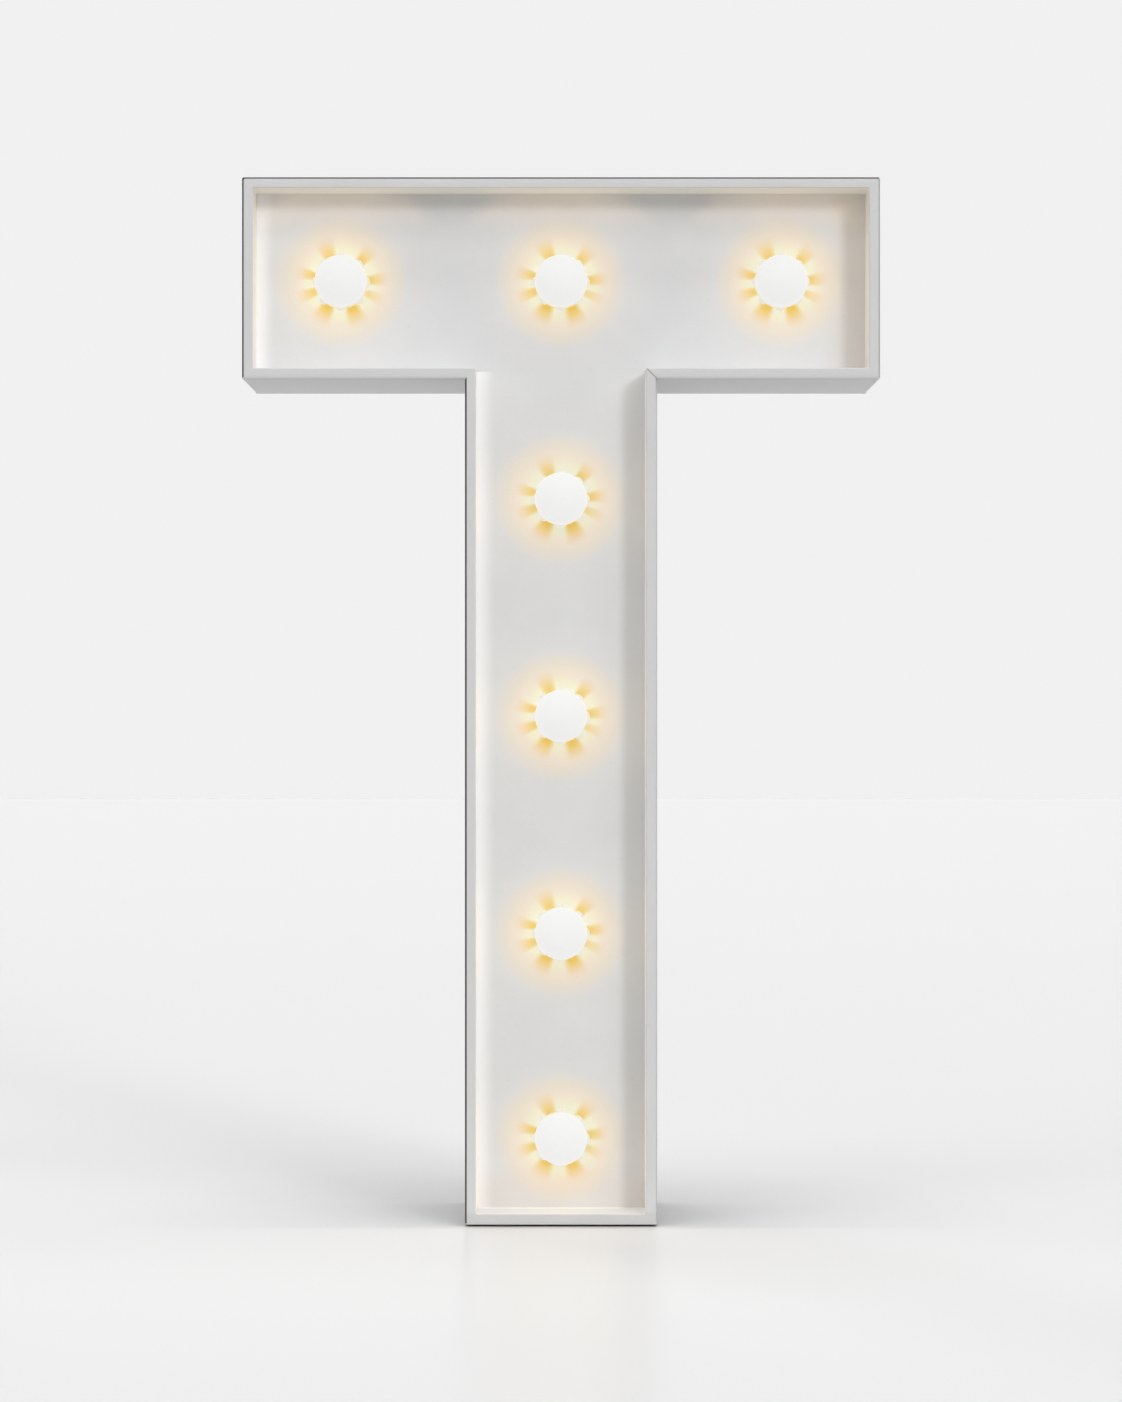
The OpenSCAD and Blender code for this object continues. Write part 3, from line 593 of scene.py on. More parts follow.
@dataclass(frozen=True)
class HaloFinish(MouldedFinish):
    """Panel finish: moulded white with painted lamplight, a warm halo of eight rays round each lamp, and
    other painted light and shade.
    """

    bar_pitch: float = 0.0466
    bar_steps: float = 1.0
    stem_pitch: float = 0.046
    stem_steps: float = 4.0
    top_lamp_z: float = 0.1988
    low_lamp_rise: float = 0.0026
    gap_angles_deg: tuple[float, ...] = (5.0, 48.0, 114.0, 166.0, 199.0, 240.0, 293.0, 337.0)
    gap_depths: tuple[float, ...] = (0.9, 0.9, 0.85, 0.9, 0.85, 1.0, 1.0, 0.6)
    gap_half_widths_deg: tuple[float, ...] = (12.0, 14.0, 16.0, 11.0, 12.0, 18.0, 18.0, 10.0)
    # Painted lamplight of the halo: amber in the gaps between the rays, pale rays with a root near the cap,
    # and a peach glow beyond.
    amber: Colour = (0.96, 0.655, 0.15)
    amber_reach: Span = (0.0055, 0.0106)
    root: Colour = (0.668, 0.712, 0.678)
    root_reach: Span = (0.0059, 0.0072)
    white: Colour = (0.722, 0.742, 0.622)
    white_reach: Span = (0.0066, 0.0094)
    peach: Colour = (0.765, 0.715, 0.64)
    peach_reach: Span = (0.0102, 0.0150)
    # Painted warm lamplight under the top wall above each lamp, and at the foot and by the bar's right wall.
    corner: Colour = (1.21, 1.14, 1.08)
    corner_reach: Span = (0.0195, 0.0255)
    corner_z: Span = (0.2090, 0.2155)
    warm: Colour = (1.0, 0.955, 0.91)
    warm_foot_z: Span = (0.013, 0.006)
    warm_right_x: Span = (0.0555, 0.0605)
    # Painted light: a paler strip beside the left walls, standing in for the light those walls throw back.
    lit: Colour = (0.89, 0.905, 0.935)
    lit_reach: float = 0.0042
    bar_left: float = -0.0647
    bar_low_z: float = 0.1799
    stem_left: float = -0.0179
    # Painted light: the crossbar is lighter, and more so near its top wall, inside that wall's shade.
    bar_lift: float = 0.05
    bar_lift_z: Span = (0.160, 0.185)
    top_lift: float = 0.07
    top_lift_z: Span = (0.199, 0.207)
    # Painted shade: the panel is darker towards the foot.
    foot_shade: float = 0.04
    foot_shade_z: Span = (0.045, 0.015)

    def halo_group(self) -> None:
        """Distance to the nearest lamp, and how far a point lies in a gap between two rays.

        The lamps repeat at even steps along the crossbar and down the stem, and the lowest sits a little
        higher, so the nearest lamp is found by rounding the place to whole steps.
        """
        sheet, source, sink = new_group("Lamp halo", {"Vector": "Vector"}, "Distance", "Gap")
        at = sheet.parts(source["Vector"])
        step_x = sheet.math("ROUND", sheet.math("DIVIDE", at["X"], self.bar_pitch))
        step_x = sheet.math("MAXIMUM", sheet.math("MINIMUM", step_x, self.bar_steps), -self.bar_steps)
        across = sheet.math("MULTIPLY_ADD", step_x, -self.bar_pitch, at["X"])
        down = sheet.math("SUBTRACT", self.top_lamp_z, at["Z"])
        step_z = sheet.math("ROUND", sheet.math("DIVIDE", down, self.stem_pitch))
        step_z = sheet.math("MAXIMUM", sheet.math("MINIMUM", step_z, self.stem_steps), 0.0)
        lowest = sheet.math("GREATER_THAN", step_z, self.stem_steps - 0.5)
        up = sheet.math("MULTIPLY_ADD", step_z, self.stem_pitch, sheet.product(down, -1.0))
        up = sheet.math("SUBTRACT", up, sheet.product(lowest, self.low_lamp_rise))
        offset = sheet.add("CombineXYZ", {"X": across, "Z": up}).outputs[0]
        distance = sheet.add("VectorMath", {0: offset}, operation="LENGTH").outputs["Value"]
        spoke = sheet.add("VectorMath", {0: offset}, operation="NORMALIZE").outputs[0]
        gap: Any = 0.0
        for angle_deg, half_deg, depth in zip(self.gap_angles_deg, self.gap_half_widths_deg, self.gap_depths):
            angle, edge = math.radians(angle_deg), math.cos(math.radians(half_deg))
            inputs = {0: spoke, 1: (math.cos(angle), 0.0, math.sin(angle))}
            toward = sheet.add("VectorMath", inputs, operation="DOT_PRODUCT").outputs["Value"]
            gap = sheet.math("MAXIMUM", gap, sheet.ramp(toward, edge, 1.0, 0.0, depth))
        sheet.feed(sink, {"Distance": distance, "Gap": gap})

    def toned(self, sheet: NodeSheet, colour: NodeSocket) -> NodeSocket:
        """Paints light and shade into the colour: paler beside the left walls, warm round each lamp and in
        three corners, lighter in the crossbar and at the top, and darker towards the foot.

        Args:
            sheet: Sheet of the material.
            colour: Colour of the moulded finish.

        Returns:
            The new colour.
        """
        self.halo_group()
        halo, at = sheet.group("Lamp halo"), sheet.parts(sheet.coords())
        distance = halo["Distance"]
        in_bar = sheet.math("GREATER_THAN", at["Z"], self.bar_low_z)
        wall_x = sheet.ramp(in_bar, 0.0, 1.0, self.stem_left, self.bar_left, "LINEAR")
        # Painted light beside the left walls.
        beside = sheet.fade(sheet.math("SUBTRACT", at["X"], wall_x), 0.0, self.lit_reach)
        colour = sheet.mix(beside, colour, self.lit)
        # Painted lamplight: a peach glow, pale rays and amber gaps round each lamp.
        colour = sheet.mix(sheet.fade(distance, *self.peach_reach), colour, self.peach)
        ray = sheet.mix(sheet.ramp(distance, *self.root_reach), self.root, self.white)
        colour = sheet.mix(sheet.fade(distance, *self.white_reach), colour, ray)
        gap_light = sheet.product(sheet.fade(distance, *self.amber_reach), halo["Gap"])
        colour = sheet.tint(gap_light, colour, self.amber)
        # Painted warm lamplight above each lamp, under the top wall.
        above = sheet.product(sheet.ramp(at["Z"], *self.corner_z), sheet.fade(distance, *self.corner_reach))
        colour = sheet.tint(above, colour, self.corner)
        # Painted warm lamplight at the foot and by the bar's right wall.
        foot, right = sheet.ramp(at["Z"], *self.warm_foot_z), sheet.ramp(at["X"], *self.warm_right_x)
        colour = sheet.tint(sheet.math("MAXIMUM", foot, right), colour, self.warm)
        # Painted light lifts the crossbar and its top; the last line adds painted shade towards the foot.
        level = sheet.ramp(at["Z"], *self.bar_lift_z, 1.0, 1.0 + self.bar_lift)
        level = sheet.math("ADD", level, sheet.ramp(at["Z"], *self.top_lift_z, 0.0, self.top_lift))
        level = sheet.math("SUBTRACT", level, sheet.ramp(at["Z"], *self.foot_shade_z, 0.0, self.foot_shade))
        return sheet.scaled(colour, level)


@dataclass(frozen=True)
class GlowFinish(Finish):
    """Milky plastic lit from inside: white at the crown and warmer down its skirt."""

    crown: Colour
    skirt: Colour
    strength: float = 0.76
    base: Colour = (0.15, 0.15, 0.145)
    crown_y: float = -0.0165
    skirt_y: float = -0.0125
    cloud_scale: float = 700.0
    cloud_range: Span = (0.3, 0.7)
    cloud_level: Span = (0.99, 1.0)
    grain_scale: float = 3000.0
    grain_depth: float = 0.00002
    bump_strength: float = 0.4
    roughness: float = 0.5
    specular: float = 0.04

    def inputs(self, sheet: NodeSheet) -> dict[str, Any]:
        """Carries the glow from the skirt's colour to the crown's.

        Args:
            sheet: Sheet of the material.

        Returns:
            Values or sockets for the shader's inputs.
        """
        where = sheet.coords()
        toward_crown = sheet.ramp(sheet.parts(where)["Y"], self.skirt_y, self.crown_y)
        cloud = sheet.ramp(sheet.noise(where, self.cloud_scale), *self.cloud_range, *self.cloud_level)
        grain = sheet.noise(where, self.grain_scale)
        return {
            "Emission Color": sheet.scaled(sheet.mix(toward_crown, self.skirt, self.crown), cloud),
            "Emission Strength": self.strength,
            "Base Color": self.base,
            "Normal": sheet.bump(grain, self.grain_depth, self.bump_strength),
            "Roughness": self.roughness,
            "Specular IOR Level": self.specular,
        }


@dataclass(frozen=True)
class MetalFinish(Finish):
    """Plated or rolled metal with streaks and faint tarnish."""

    colour: Colour
    tarnish: Colour
    roughness: float = 0.3
    streak_range: Span = (0.3, 0.7)
    gloss_spread: Span = (-0.07, 0.08)
    streak_depth: float = 0.00001
    bump_strength: float = 0.3

    def inputs(self, sheet: NodeSheet) -> dict[str, Any]:
        """Streaks the gloss and tarnishes the colour.

        Args:
            sheet: Sheet of the material.

        Returns:
            Values or sockets for the shader's inputs.
        """
        group = sheet.group("Metal brushing")
        low, high = (self.roughness + change for change in self.gloss_spread)
        return {
            "Base Color": sheet.mix(group["Tarnish"], self.colour, self.tarnish),
            "Roughness": sheet.ramp(group["Streak"], *self.streak_range, low, high),
            "Normal": sheet.bump(group["Streak"], self.streak_depth, self.bump_strength),
            "Metallic": 1.0,
        }


@dataclass(frozen=True)
class BandedFinish(Finish):
    """Finish with rings of colour along a piece, read from its value "along" or from its height."""

    colours: tuple[Colour, ...]
    starts: tuple[float, ...]
    from_height: bool = False
    roughness: float = 0.35
    gloss_spread: Span = (-0.08, 0.1)
    cloud_scale: float = 500.0
    worn: Colour = (0.5, 0.5, 0.5)
    worn_range: Span = (0.35, 0.75)
    worn_share: float = 0.025

    def inputs(self, sheet: NodeSheet) -> dict[str, Any]:
        """Lets each colour take over where the place along the piece passes its start.

        Args:
            sheet: Sheet of the material.

        Returns:
            Values or sockets for the shader's inputs.
        """
        where = sheet.coords()
        along = sheet.parts(where)["Z"] if self.from_height else sheet.value("along")
        colour: Any = self.colours[0]
        for start, later in zip(self.starts, self.colours[1:]):
            colour = sheet.mix(sheet.math("GREATER_THAN", along, start), colour, later)
        cloud = sheet.noise(where, self.cloud_scale)
        wear = sheet.ramp(cloud, *self.worn_range, 0.0, self.worn_share)
        low, high = (self.roughness + change for change in self.gloss_spread)
        return {"Base Color": sheet.mix(wear, colour, self.worn),
                "Roughness": sheet.ramp(cloud, 0.0, 1.0, low, high)}


@dataclass(frozen=True)
class FloorFinish(Finish):
    """Pale floor with a faint satin gloss, which shows paler than the light that it throws back."""

    shown: Colour = (0.922, 0.922, 0.922)
    specular: float = 0.025
    roughness: float = 0.25
    bounce_front: Colour = (0.38, 0.38, 0.38)
    bounce_back: Colour = (0.95, 0.95, 0.95)
    bounce_y: Span = (-0.06, 0.02)
    shade_depth: float = 0.8
    shade_reach: float = 0.08
    shade_in_front: float = 0.30
    shade_y: Span = (-0.029, -0.0215)

    def inputs(self, sheet: NodeSheet) -> dict[str, Any]:
        """Shows the floor darker where the letter stands close over it, less so in front of the letter.

        Args:
            sheet: Sheet of the material.

        Returns:
            Values or sockets for the shader's inputs.
        """
        depth = sheet.parts(sheet.coords())["Y"]
        bounce = sheet.mix(sheet.ramp(depth, *self.bounce_y), self.bounce_front, self.bounce_back)
        open_share = sheet.add("AmbientOcclusion", {"Distance": self.shade_reach}).outputs["AO"]
        share = sheet.ramp(depth, *self.shade_y, self.shade_in_front, 1.0)
        share = sheet.product(sheet.math("SUBTRACT", 1.0, open_share), share)
        shaded = tuple(c * (1.0 - self.shade_depth) for c in self.shown)
        shown = sheet.mix(share, self.shown, shaded)
        return {"Base Color": sheet.mix(sheet.shown_rays(), bounce, shown),
                "Specular IOR Level": self.specular, "Roughness": self.roughness}


class Finishes:
    """Every finish of the letter, built once."""

    def __init__(self) -> None:
        """Builds the shared effects and the materials."""
        Effects().build()
        self.band = BandFinish("Band satin white", (0.715, 0.715, 0.715)).build()
        self.panel = HaloFinish("Panel matt white", (0.715, 0.726, 0.742), 0.6, 0.2).build()
        self.cover = MouldedFinish(
            "Cover textured white", (0.76, 0.76, 0.755), 0.55, grain_scale=1500.0, grain_depth=0.00014,
            cloud_depth=0.05).build()
        self.ring = MouldedFinish("Ring white", (0.78, 0.78, 0.76)).build()
        self.knob = MouldedFinish("Knob black", (0.02, 0.02, 0.021), 0.42, 0.5).build()
        self.base = MouldedFinish("Switch base brown", (0.19, 0.09, 0.035), 0.5, 0.4).build()
        self.wire_red = MouldedFinish("Wire red", (0.42, 0.02, 0.015), 0.4, 0.45, 900.0).build()
        self.wire_black = MouldedFinish("Wire black", (0.015, 0.015, 0.016), 0.4, 0.45, 900.0).build()
        self.mark = MouldedFinish("Printed mark grey", (0.16, 0.16, 0.165), 0.6, 0.2).build()
        self.cap = GlowFinish("Cap milky glow", (1.0, 1.0, 0.99), (0.91, 0.83, 0.60)).build()
        self.led = GlowFinish("LED clear glow", (1.0, 0.95, 0.8), (1.0, 0.85, 0.5), 0.9).build()
        self.screw = MetalFinish("Screw zinc", (0.62, 0.63, 0.64), (0.45, 0.45, 0.44), 0.34).build()
        self.nickel = MetalFinish("Contact nickel", (0.72, 0.69, 0.63), (0.55, 0.52, 0.46), 0.25).build()
        self.spring = MetalFinish("Spring wire", (0.66, 0.65, 0.62), (0.45, 0.43, 0.40), 0.28).build()
        self.can = MetalFinish("Switch can steel", (0.60, 0.61, 0.62), (0.42, 0.42, 0.41), 0.36).build()
        steel, sleeve, stripe = (0.62, 0.61, 0.59), (0.035, 0.045, 0.06), (0.55, 0.56, 0.57)
        self.cell = BandedFinish(
            "Cell sleeve", (steel, sleeve, stripe, sleeve, steel), (0.0006, 0.0335, 0.0375, 0.0427)).build()
        tan, brown = (0.62, 0.47, 0.28), (0.20, 0.08, 0.03)
        black, gold = (0.02, 0.02, 0.02), (0.62, 0.42, 0.10)
        self.resistor = BandedFinish(
            "Resistor bands", (tan, brown, tan, black, tan, brown, tan, gold, tan),
            (0.1288, 0.1294, 0.1303, 0.1309, 0.1318, 0.1324, 0.1334, 0.1340), from_height=True).build()


@dataclass
class Frame:
    """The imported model, and how copies of its nodes are rounded."""

    nodes: dict[str, Object]
    merge_within: float = 0.002 * MM
    flat_deg: float = 0.2
    round_from_deg: float = 50.0
    round_steps: int = 2

    def dress(self, material: Material, *names: str) -> None:
        """Gives CAD nodes a material.

        Args:
            material: Finish of the nodes.
            *names: Names of the nodes.
        """
        for name in names:
            node = self.nodes[name]
            if not node.material_slots:
                node.data.materials.append(material)
            for mesh_slot in node.material_slots:
                mesh_slot.material = material
            LOG.info("%s keeps its node with %s", name, material.name)

    def soften(self, fitting: Fitting, round_r: float) -> None:
        """Makes a piece from a merged copy of the node that it replaces, with rounded edges.

        Args:
            fitting: How the piece sits in the letter.
            round_r: Width of the rounding.
        """
        work = bmesh.new()
        work.from_mesh(self.nodes[fitting.nodes[0]].data)
        bmesh.ops.remove_doubles(work, verts=work.verts, dist=self.merge_within)
        flat, limit = math.radians(self.flat_deg), math.radians(self.round_from_deg)
        bmesh.ops.dissolve_limit(work, angle_limit=flat, verts=work.verts, edges=work.edges)
        sharp = [edge for edge in work.edges if len(edge.link_faces) == 2 and edge.calc_face_angle() > limit]
        bmesh.ops.bevel(work, geom=sharp, offset=round_r, offset_type="OFFSET", segments=self.round_steps,
                        profile=0.5, affect="EDGES", clamp_overlap=True)
        mesh = bpy.data.meshes.new(fitting.name)
        work.to_mesh(mesh)
        work.free()
        if "custom_normal" in mesh.attributes:
            mesh.attributes.remove(mesh.attributes["custom_normal"])
        shade(mesh)
        fitting.place(mesh)


@dataclass
class SubAssembly:
    """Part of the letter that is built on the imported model."""

    frame: Frame
    finishes: Finishes


@dataclass
class SideBand(SubAssembly):
    """Strip that makes the rim and the side walls; its ends meet in a mitre at the inner right corner."""

    stem_w: float = 40.4 * MM
    bar_h: float = 42.4 * MM
    thickness: float = 2.3 * MM
    outer_round: float = 0.5 * MM
    outer_round_depth: float = 1.0 * MM
    outer_flat_start: float = 1.2 * MM
    inner_round: float = 0.2 * MM
    corner_round: float = 0.35 * MM
    rear_chamfer: float = 0.15 * MM
    panel_front: float = -11.5 * MM
    panel_back: float = -9.5 * MM
    panel_gap: float = 0.14 * MM
    ledge_w: float = 1.2 * MM
    ledge_t: float = 1.5 * MM
    seam_gap: float = 0.12 * MM
    line_slope: float = 3.0
    line_start: float = 0.8
    arc_steps: int = 10
    corner_steps: int = 4

    def profile(self, front: float, rear: float) -> tuple[np.ndarray, np.ndarray, dict[str, np.ndarray]]:
        """Section of the strip as inset from the letter's outline and depth.

        It runs up the outer wall, round the outer edge by a quarter ellipse, across the rim, round the inner
        edge by a quarter circle, and back along the inner wall to the panel's edge and the ledge behind it.

        Args:
            front: Depth of the rim.
            rear: Depth of the strip's rear edge.

        Returns:
            Insets, depths, and two values: "edge" on the outer rounding and "inside" on the inner wall.
        """
        quarter = np.linspace(0.0, np.pi / 2.0, self.arc_steps)
        outer_inset = self.outer_round * (1.0 - np.cos(quarter))
        outer_depth = front + self.outer_round_depth * (1.0 - np.sin(quarter))
        inner_inset = self.thickness - self.inner_round * (1.0 - np.sin(quarter))
        inner_depth = front + self.inner_round * (1.0 - np.cos(quarter))
        wall, beside, lip = self.thickness, self.thickness + self.panel_gap, self.thickness + self.ledge_w
        face, back, ledge = self.panel_front, self.panel_back, self.panel_back + self.ledge_t
        wall_inset = [wall, beside, beside, lip, lip, wall, wall]
        wall_depth = [face, face, back, back, ledge, ledge, rear]
        start_depth = [rear, rear - self.rear_chamfer, front + self.outer_flat_start]
        inset = [[self.rear_chamfer, 0.0, 0.0], outer_inset, inner_inset, wall_inset]
        depth = [start_depth, outer_depth, inner_depth, wall_depth]
        # The value edge marks where the band finish paints a dark line of shade along the outer rounding, or
        # a pale highlight where it looks down.
        line = np.clip(self.line_slope * np.cos(quarter), 0.0, 1.0)
        line = line * np.clip(self.line_slope * np.sin(quarter) - self.line_start, 0.0, 1.0)
        edge = [np.zeros(3), line, np.zeros(len(quarter) + len(wall_inset))]
        inside = [np.zeros(2 + 2 * len(quarter)), np.ones(1 + len(wall_inset))]
        values = {"edge": np.concatenate(edge), "inside": np.concatenate(inside)}
        return np.concatenate(inset), np.concatenate(depth), values

    def stations(self, inset: np.ndarray, half_w: float, height: float) -> np.ndarray:
        """Places the section along the outline: corner = outline corner - inset * (normal before + after).

        Each corner but the seam is a quarter circle, which bulges outwards on the six convex corners and
        inwards on the concave one. At the seam the strip's ends are cut on the mitre, half the gap apart.

        Args:
            inset: Inset of each point of the section.
            half_w: Half of the letter's width.
            height: Height of the letter.

        Returns:
            Array of shape (stations, points, 2) with X and Z.
        """
        stem, bar = self.stem_w / 2.0, height - self.bar_h
        corners = np.array([[stem, bar], [half_w, bar], [half_w, height], [-half_w, height], [-half_w, bar],
                            [-stem, bar], [-stem, 0.0], [stem, 0.0]])
        edge = np.roll(corners, -1, axis=0) - corners
        edge /= np.linalg.norm(edge, axis=1, keepdims=True)
        after = np.stack([edge[:, 1], -edge[:, 0]], axis=1)
        before = np.roll(after, 1, axis=0)
        mitre = before + after
        inner = corners[:, None, :] - inset[None, :, None] * mitre[:, None, :]
        turn = before[:, 0] * after[:, 1] - before[:, 1] * after[:, 0]
        bulge = np.sign(turn)[1:, None, None, None] * self.corner_round
        swing = np.linspace(0.0, np.pi / 2.0, self.corner_steps + 1)[None, :, None, None]
        arc = np.cos(swing) * before[1:, None, None, :] + np.sin(swing) * after[1:, None, None, :]
        rounded = inner[1:, None, :, :] + bulge * (arc - mitre[1:, None, None, :])
        cut = self.seam_gap / math.sqrt(2.0)
        start = inner[:1] + np.array([cut, 0.0])
        finish = inner[:1] - np.array([0.0, cut])
        return np.concatenate([start, rounded.reshape(-1, len(inset), 2), finish])

    def shape(self) -> Shape:
        """Carries the section round the letter and closes its two ends.

        Returns:
            The strip.
        """
        low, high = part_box("side_band")
        inset, depth, values = self.profile(low.y, high.y)
        flat = self.stations(inset, high.x, high.z)
        size = flat.shape[:2]
        points = np.stack([flat[..., 0], np.broadcast_to(depth, size), flat[..., 1]], axis=-1)
        spread = {key: np.tile(numbers, size[0]) for key, numbers in values.items()}
        return Shape(points.reshape(-1, 3), [grid_faces(*size), end_faces(*size)], spread).outward()

    def build(self) -> None:
        """Makes the strip's piece and dresses the panel that it holds."""
        Fitting("rim_band", self.finishes.band, Slot.BAND, ("side_band",)).make(self.shape())
        self.frame.dress(self.finishes.panel, "face_panel")


@dataclass
class Lamps(SubAssembly):
    """The seven caps with their LEDs and rings."""

    dome_r: float = 5.5 * MM
    skirt_h: float = 4.0 * MM
    wall: float = 1.1 * MM
    floor_t: float = 1.2 * MM
    spigot_r: float = 3.5 * MM
    spigot_l: float = 4.5 * MM
    bore_r: float = 2.6 * MM
    foot_round: float = 0.25 * MM
    lobe_r: float = 1.2 * MM
    lobe_centre_r: float = 4.9 * MM
    lobe_count: int = 8
    lobe_top: float = 3.5 * MM
    lobe_fade: float = 1.1 * MM
    face_y: float = -11.5 * MM
    sides: int = 128
    dome_steps: int = 18
    skirt_steps: int = 16
    foot_steps: int = 5
    glow_power: float = 0.0017
    glow_colour: Colour = (1.0, 0.66, 0.24)
    glow_lift: float = 5.5 * MM
    glow_r: float = 1.8 * MM

    def profile(self) -> tuple[np.ndarray, np.ndarray, np.ndarray]:
        """Section of a cap from the crown outside, down its skirt and spigot, and up inside to the crown.

        Returns:
            Radii, heights above the panel, and whether each row is on the outside.
        """
        quarter = np.linspace(0.0, np.pi / 2.0, self.dome_steps)
        foot = np.linspace(0.0, np.pi / 2.0, self.foot_steps)[1:]
        skirt = np.linspace(self.skirt_h, self.foot_round, self.skirt_steps)[1:]
        inner_r, end = self.dome_r - self.wall, -self.spigot_l
        radius = [self.dome_r * np.sin(quarter), np.full(len(skirt), self.dome_r),
                  self.dome_r - self.foot_round * (1.0 - np.cos(foot)),
                  [self.spigot_r, self.spigot_r, self.bore_r, self.bore_r, inner_r],
                  inner_r * np.cos(quarter)]
        height = [self.skirt_h + self.dome_r * np.cos(quarter), skirt,
                  self.foot_round * (1.0 - np.sin(foot)),
                  [0.0, end, end, self.floor_t, self.floor_t],
                  self.skirt_h + inner_r * np.sin(quarter)]
        outside = np.repeat([True, True, True, False, False], [len(rows) for rows in height])
        return np.concatenate(radius), np.concatenate(height), outside

    def cap(self, centre: np.ndarray) -> Shape:
        """Cap with eight lobes round its skirt.

        A lobe is a circle set out from the axis: radius = c * cos t + root(l squared - (c * sin t) squared),
        where t is the angle from the lobe's middle. It stands on the panel and fades out below the dome.

        Args:
            centre: Point on the cap's axis in the panel's face.

        Returns:
            The closed shell.
        """
        radius, height, outside = self.profile()
        pitch = 2.0 * np.pi / self.lobe_count
        angle = np.linspace(0.0, 2.0 * np.pi, self.sides, endpoint=False)
        off = (angle + pitch / 2.0) % pitch - pitch / 2.0
        reach = self.lobe_r**2 - (self.lobe_centre_r * np.sin(off)) ** 2
        lobe = self.lobe_centre_r * np.cos(off) + np.sqrt(np.maximum(reach, 0.0))
        proud = np.where(reach > 0.0, np.maximum(lobe - self.dome_r, 0.0), 0.0)
        fade = np.clip((self.lobe_top - height) / self.lobe_fade, 0.0, 1.0)
        amount = np.where(outside, fade * fade * (3.0 - 2.0 * fade), 0.0)
        return lathe(radius[:, None] + amount[:, None] * proud[None, :], height, centre, FRONT)

    def light(self, number: int, centre: np.ndarray) -> None:
        """Puts a small warm light inside a cap, which lights the panel and the walls round it.

        Args:
            number: Number of the cap.
            centre: Point on the cap's axis in the panel's face.
        """
        lamp = bpy.data.lights.new(f"cap_light_{number}", "POINT")
        lamp.energy = self.glow_power
        lamp.color = self.glow_colour
        lamp.shadow_soft_size = self.glow_r
        spot = bpy.data.objects.new(lamp.name, lamp)
        spot.location = centre + self.glow_lift * FRONT
        spot.visible_glossy = False
        bpy.context.scene.collection.objects.link(spot)

    def build(self) -> None:
        """Makes and lights the caps, and dresses the LEDs and rings."""
        for number in range(1, LAMP_COUNT + 1):
            low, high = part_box(f"bulb_{number}")
            middle = (low + high) / 2.0
            centre = np.array([middle.x, self.face_y, middle.z])
            fitting = Fitting(f"cap_{number}", self.finishes.cap, Slot.CAP, (f"bulb_{number}",))
            fitting.make(self.cap(centre)).visible_shadow = False
            self.light(number, centre)
            self.frame.dress(self.finishes.led, f"led_{number}")
            self.frame.dress(self.finishes.ring, f"bulb_ring_{number}")


@dataclass
class Back(SubAssembly):
    """Back cover, battery door, screws and the printed switch marks."""

    round_r: float = 0.18 * MM
    screw_round_r: float = 0.12 * MM
    mark_size: float = 3.4 * MM
    mark_t: float = 0.03 * MM
    mark_x: float = 10.2 * MM
    switch_z: float = 113.0 * MM

    def mark(self, word: str, x: float, rear: float) -> None:
        """Prints a word on the cover, to be read from behind.

        Args:
            word: Word to print.
            x: Place of its middle.
            rear: Depth of the cover's rear face.
        """
        curve = bpy.data.curves.new(word, "FONT")
        curve.body = word
        curve.size = self.mark_size
        curve.extrude = self.mark_t
        curve.align_x, curve.align_y = "CENTER", "CENTER"
        text = bpy.data.objects.new(word, curve)
        bpy.context.scene.collection.objects.link(text)
        bpy.context.view_layer.update()
        mesh = bpy.data.meshes.new_from_object(text)
        bpy.data.objects.remove(text)
        flat = np.empty(3 * len(mesh.vertices))
        mesh.vertices.foreach_get("co", flat)
        across, up, out = flat.reshape(-1, 3).T
        turned = np.stack([x - across, rear + out, self.switch_z + up], axis=-1)
        mesh.vertices.foreach_set("co", turned.ravel())
        mesh.update()
        Fitting(f"mark_{word.lower()}", self.finishes.mark, Slot.COVER).place(mesh)

    def build(self) -> None:
        """Rounds the cover, the door and the screws, and prints the marks."""
        cover, screw = self.finishes.cover, self.finishes.screw
        self.frame.soften(Fitting("rear_cover", cover, Slot.COVER, ("back_cover",)), self.round_r)
        self.frame.soften(Fitting("cell_door", cover, Slot.COVER, ("battery_door",), Body.DOOR), self.round_r)
        self.frame.soften(Fitting("rear_screws", screw, Slot.SCREW, ("cover_screws",)), self.screw_round_r)
        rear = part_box("back_cover")[1].y
        self.mark("ON", self.mark_x, rear)
        self.mark("OFF", -self.mark_x, rear)


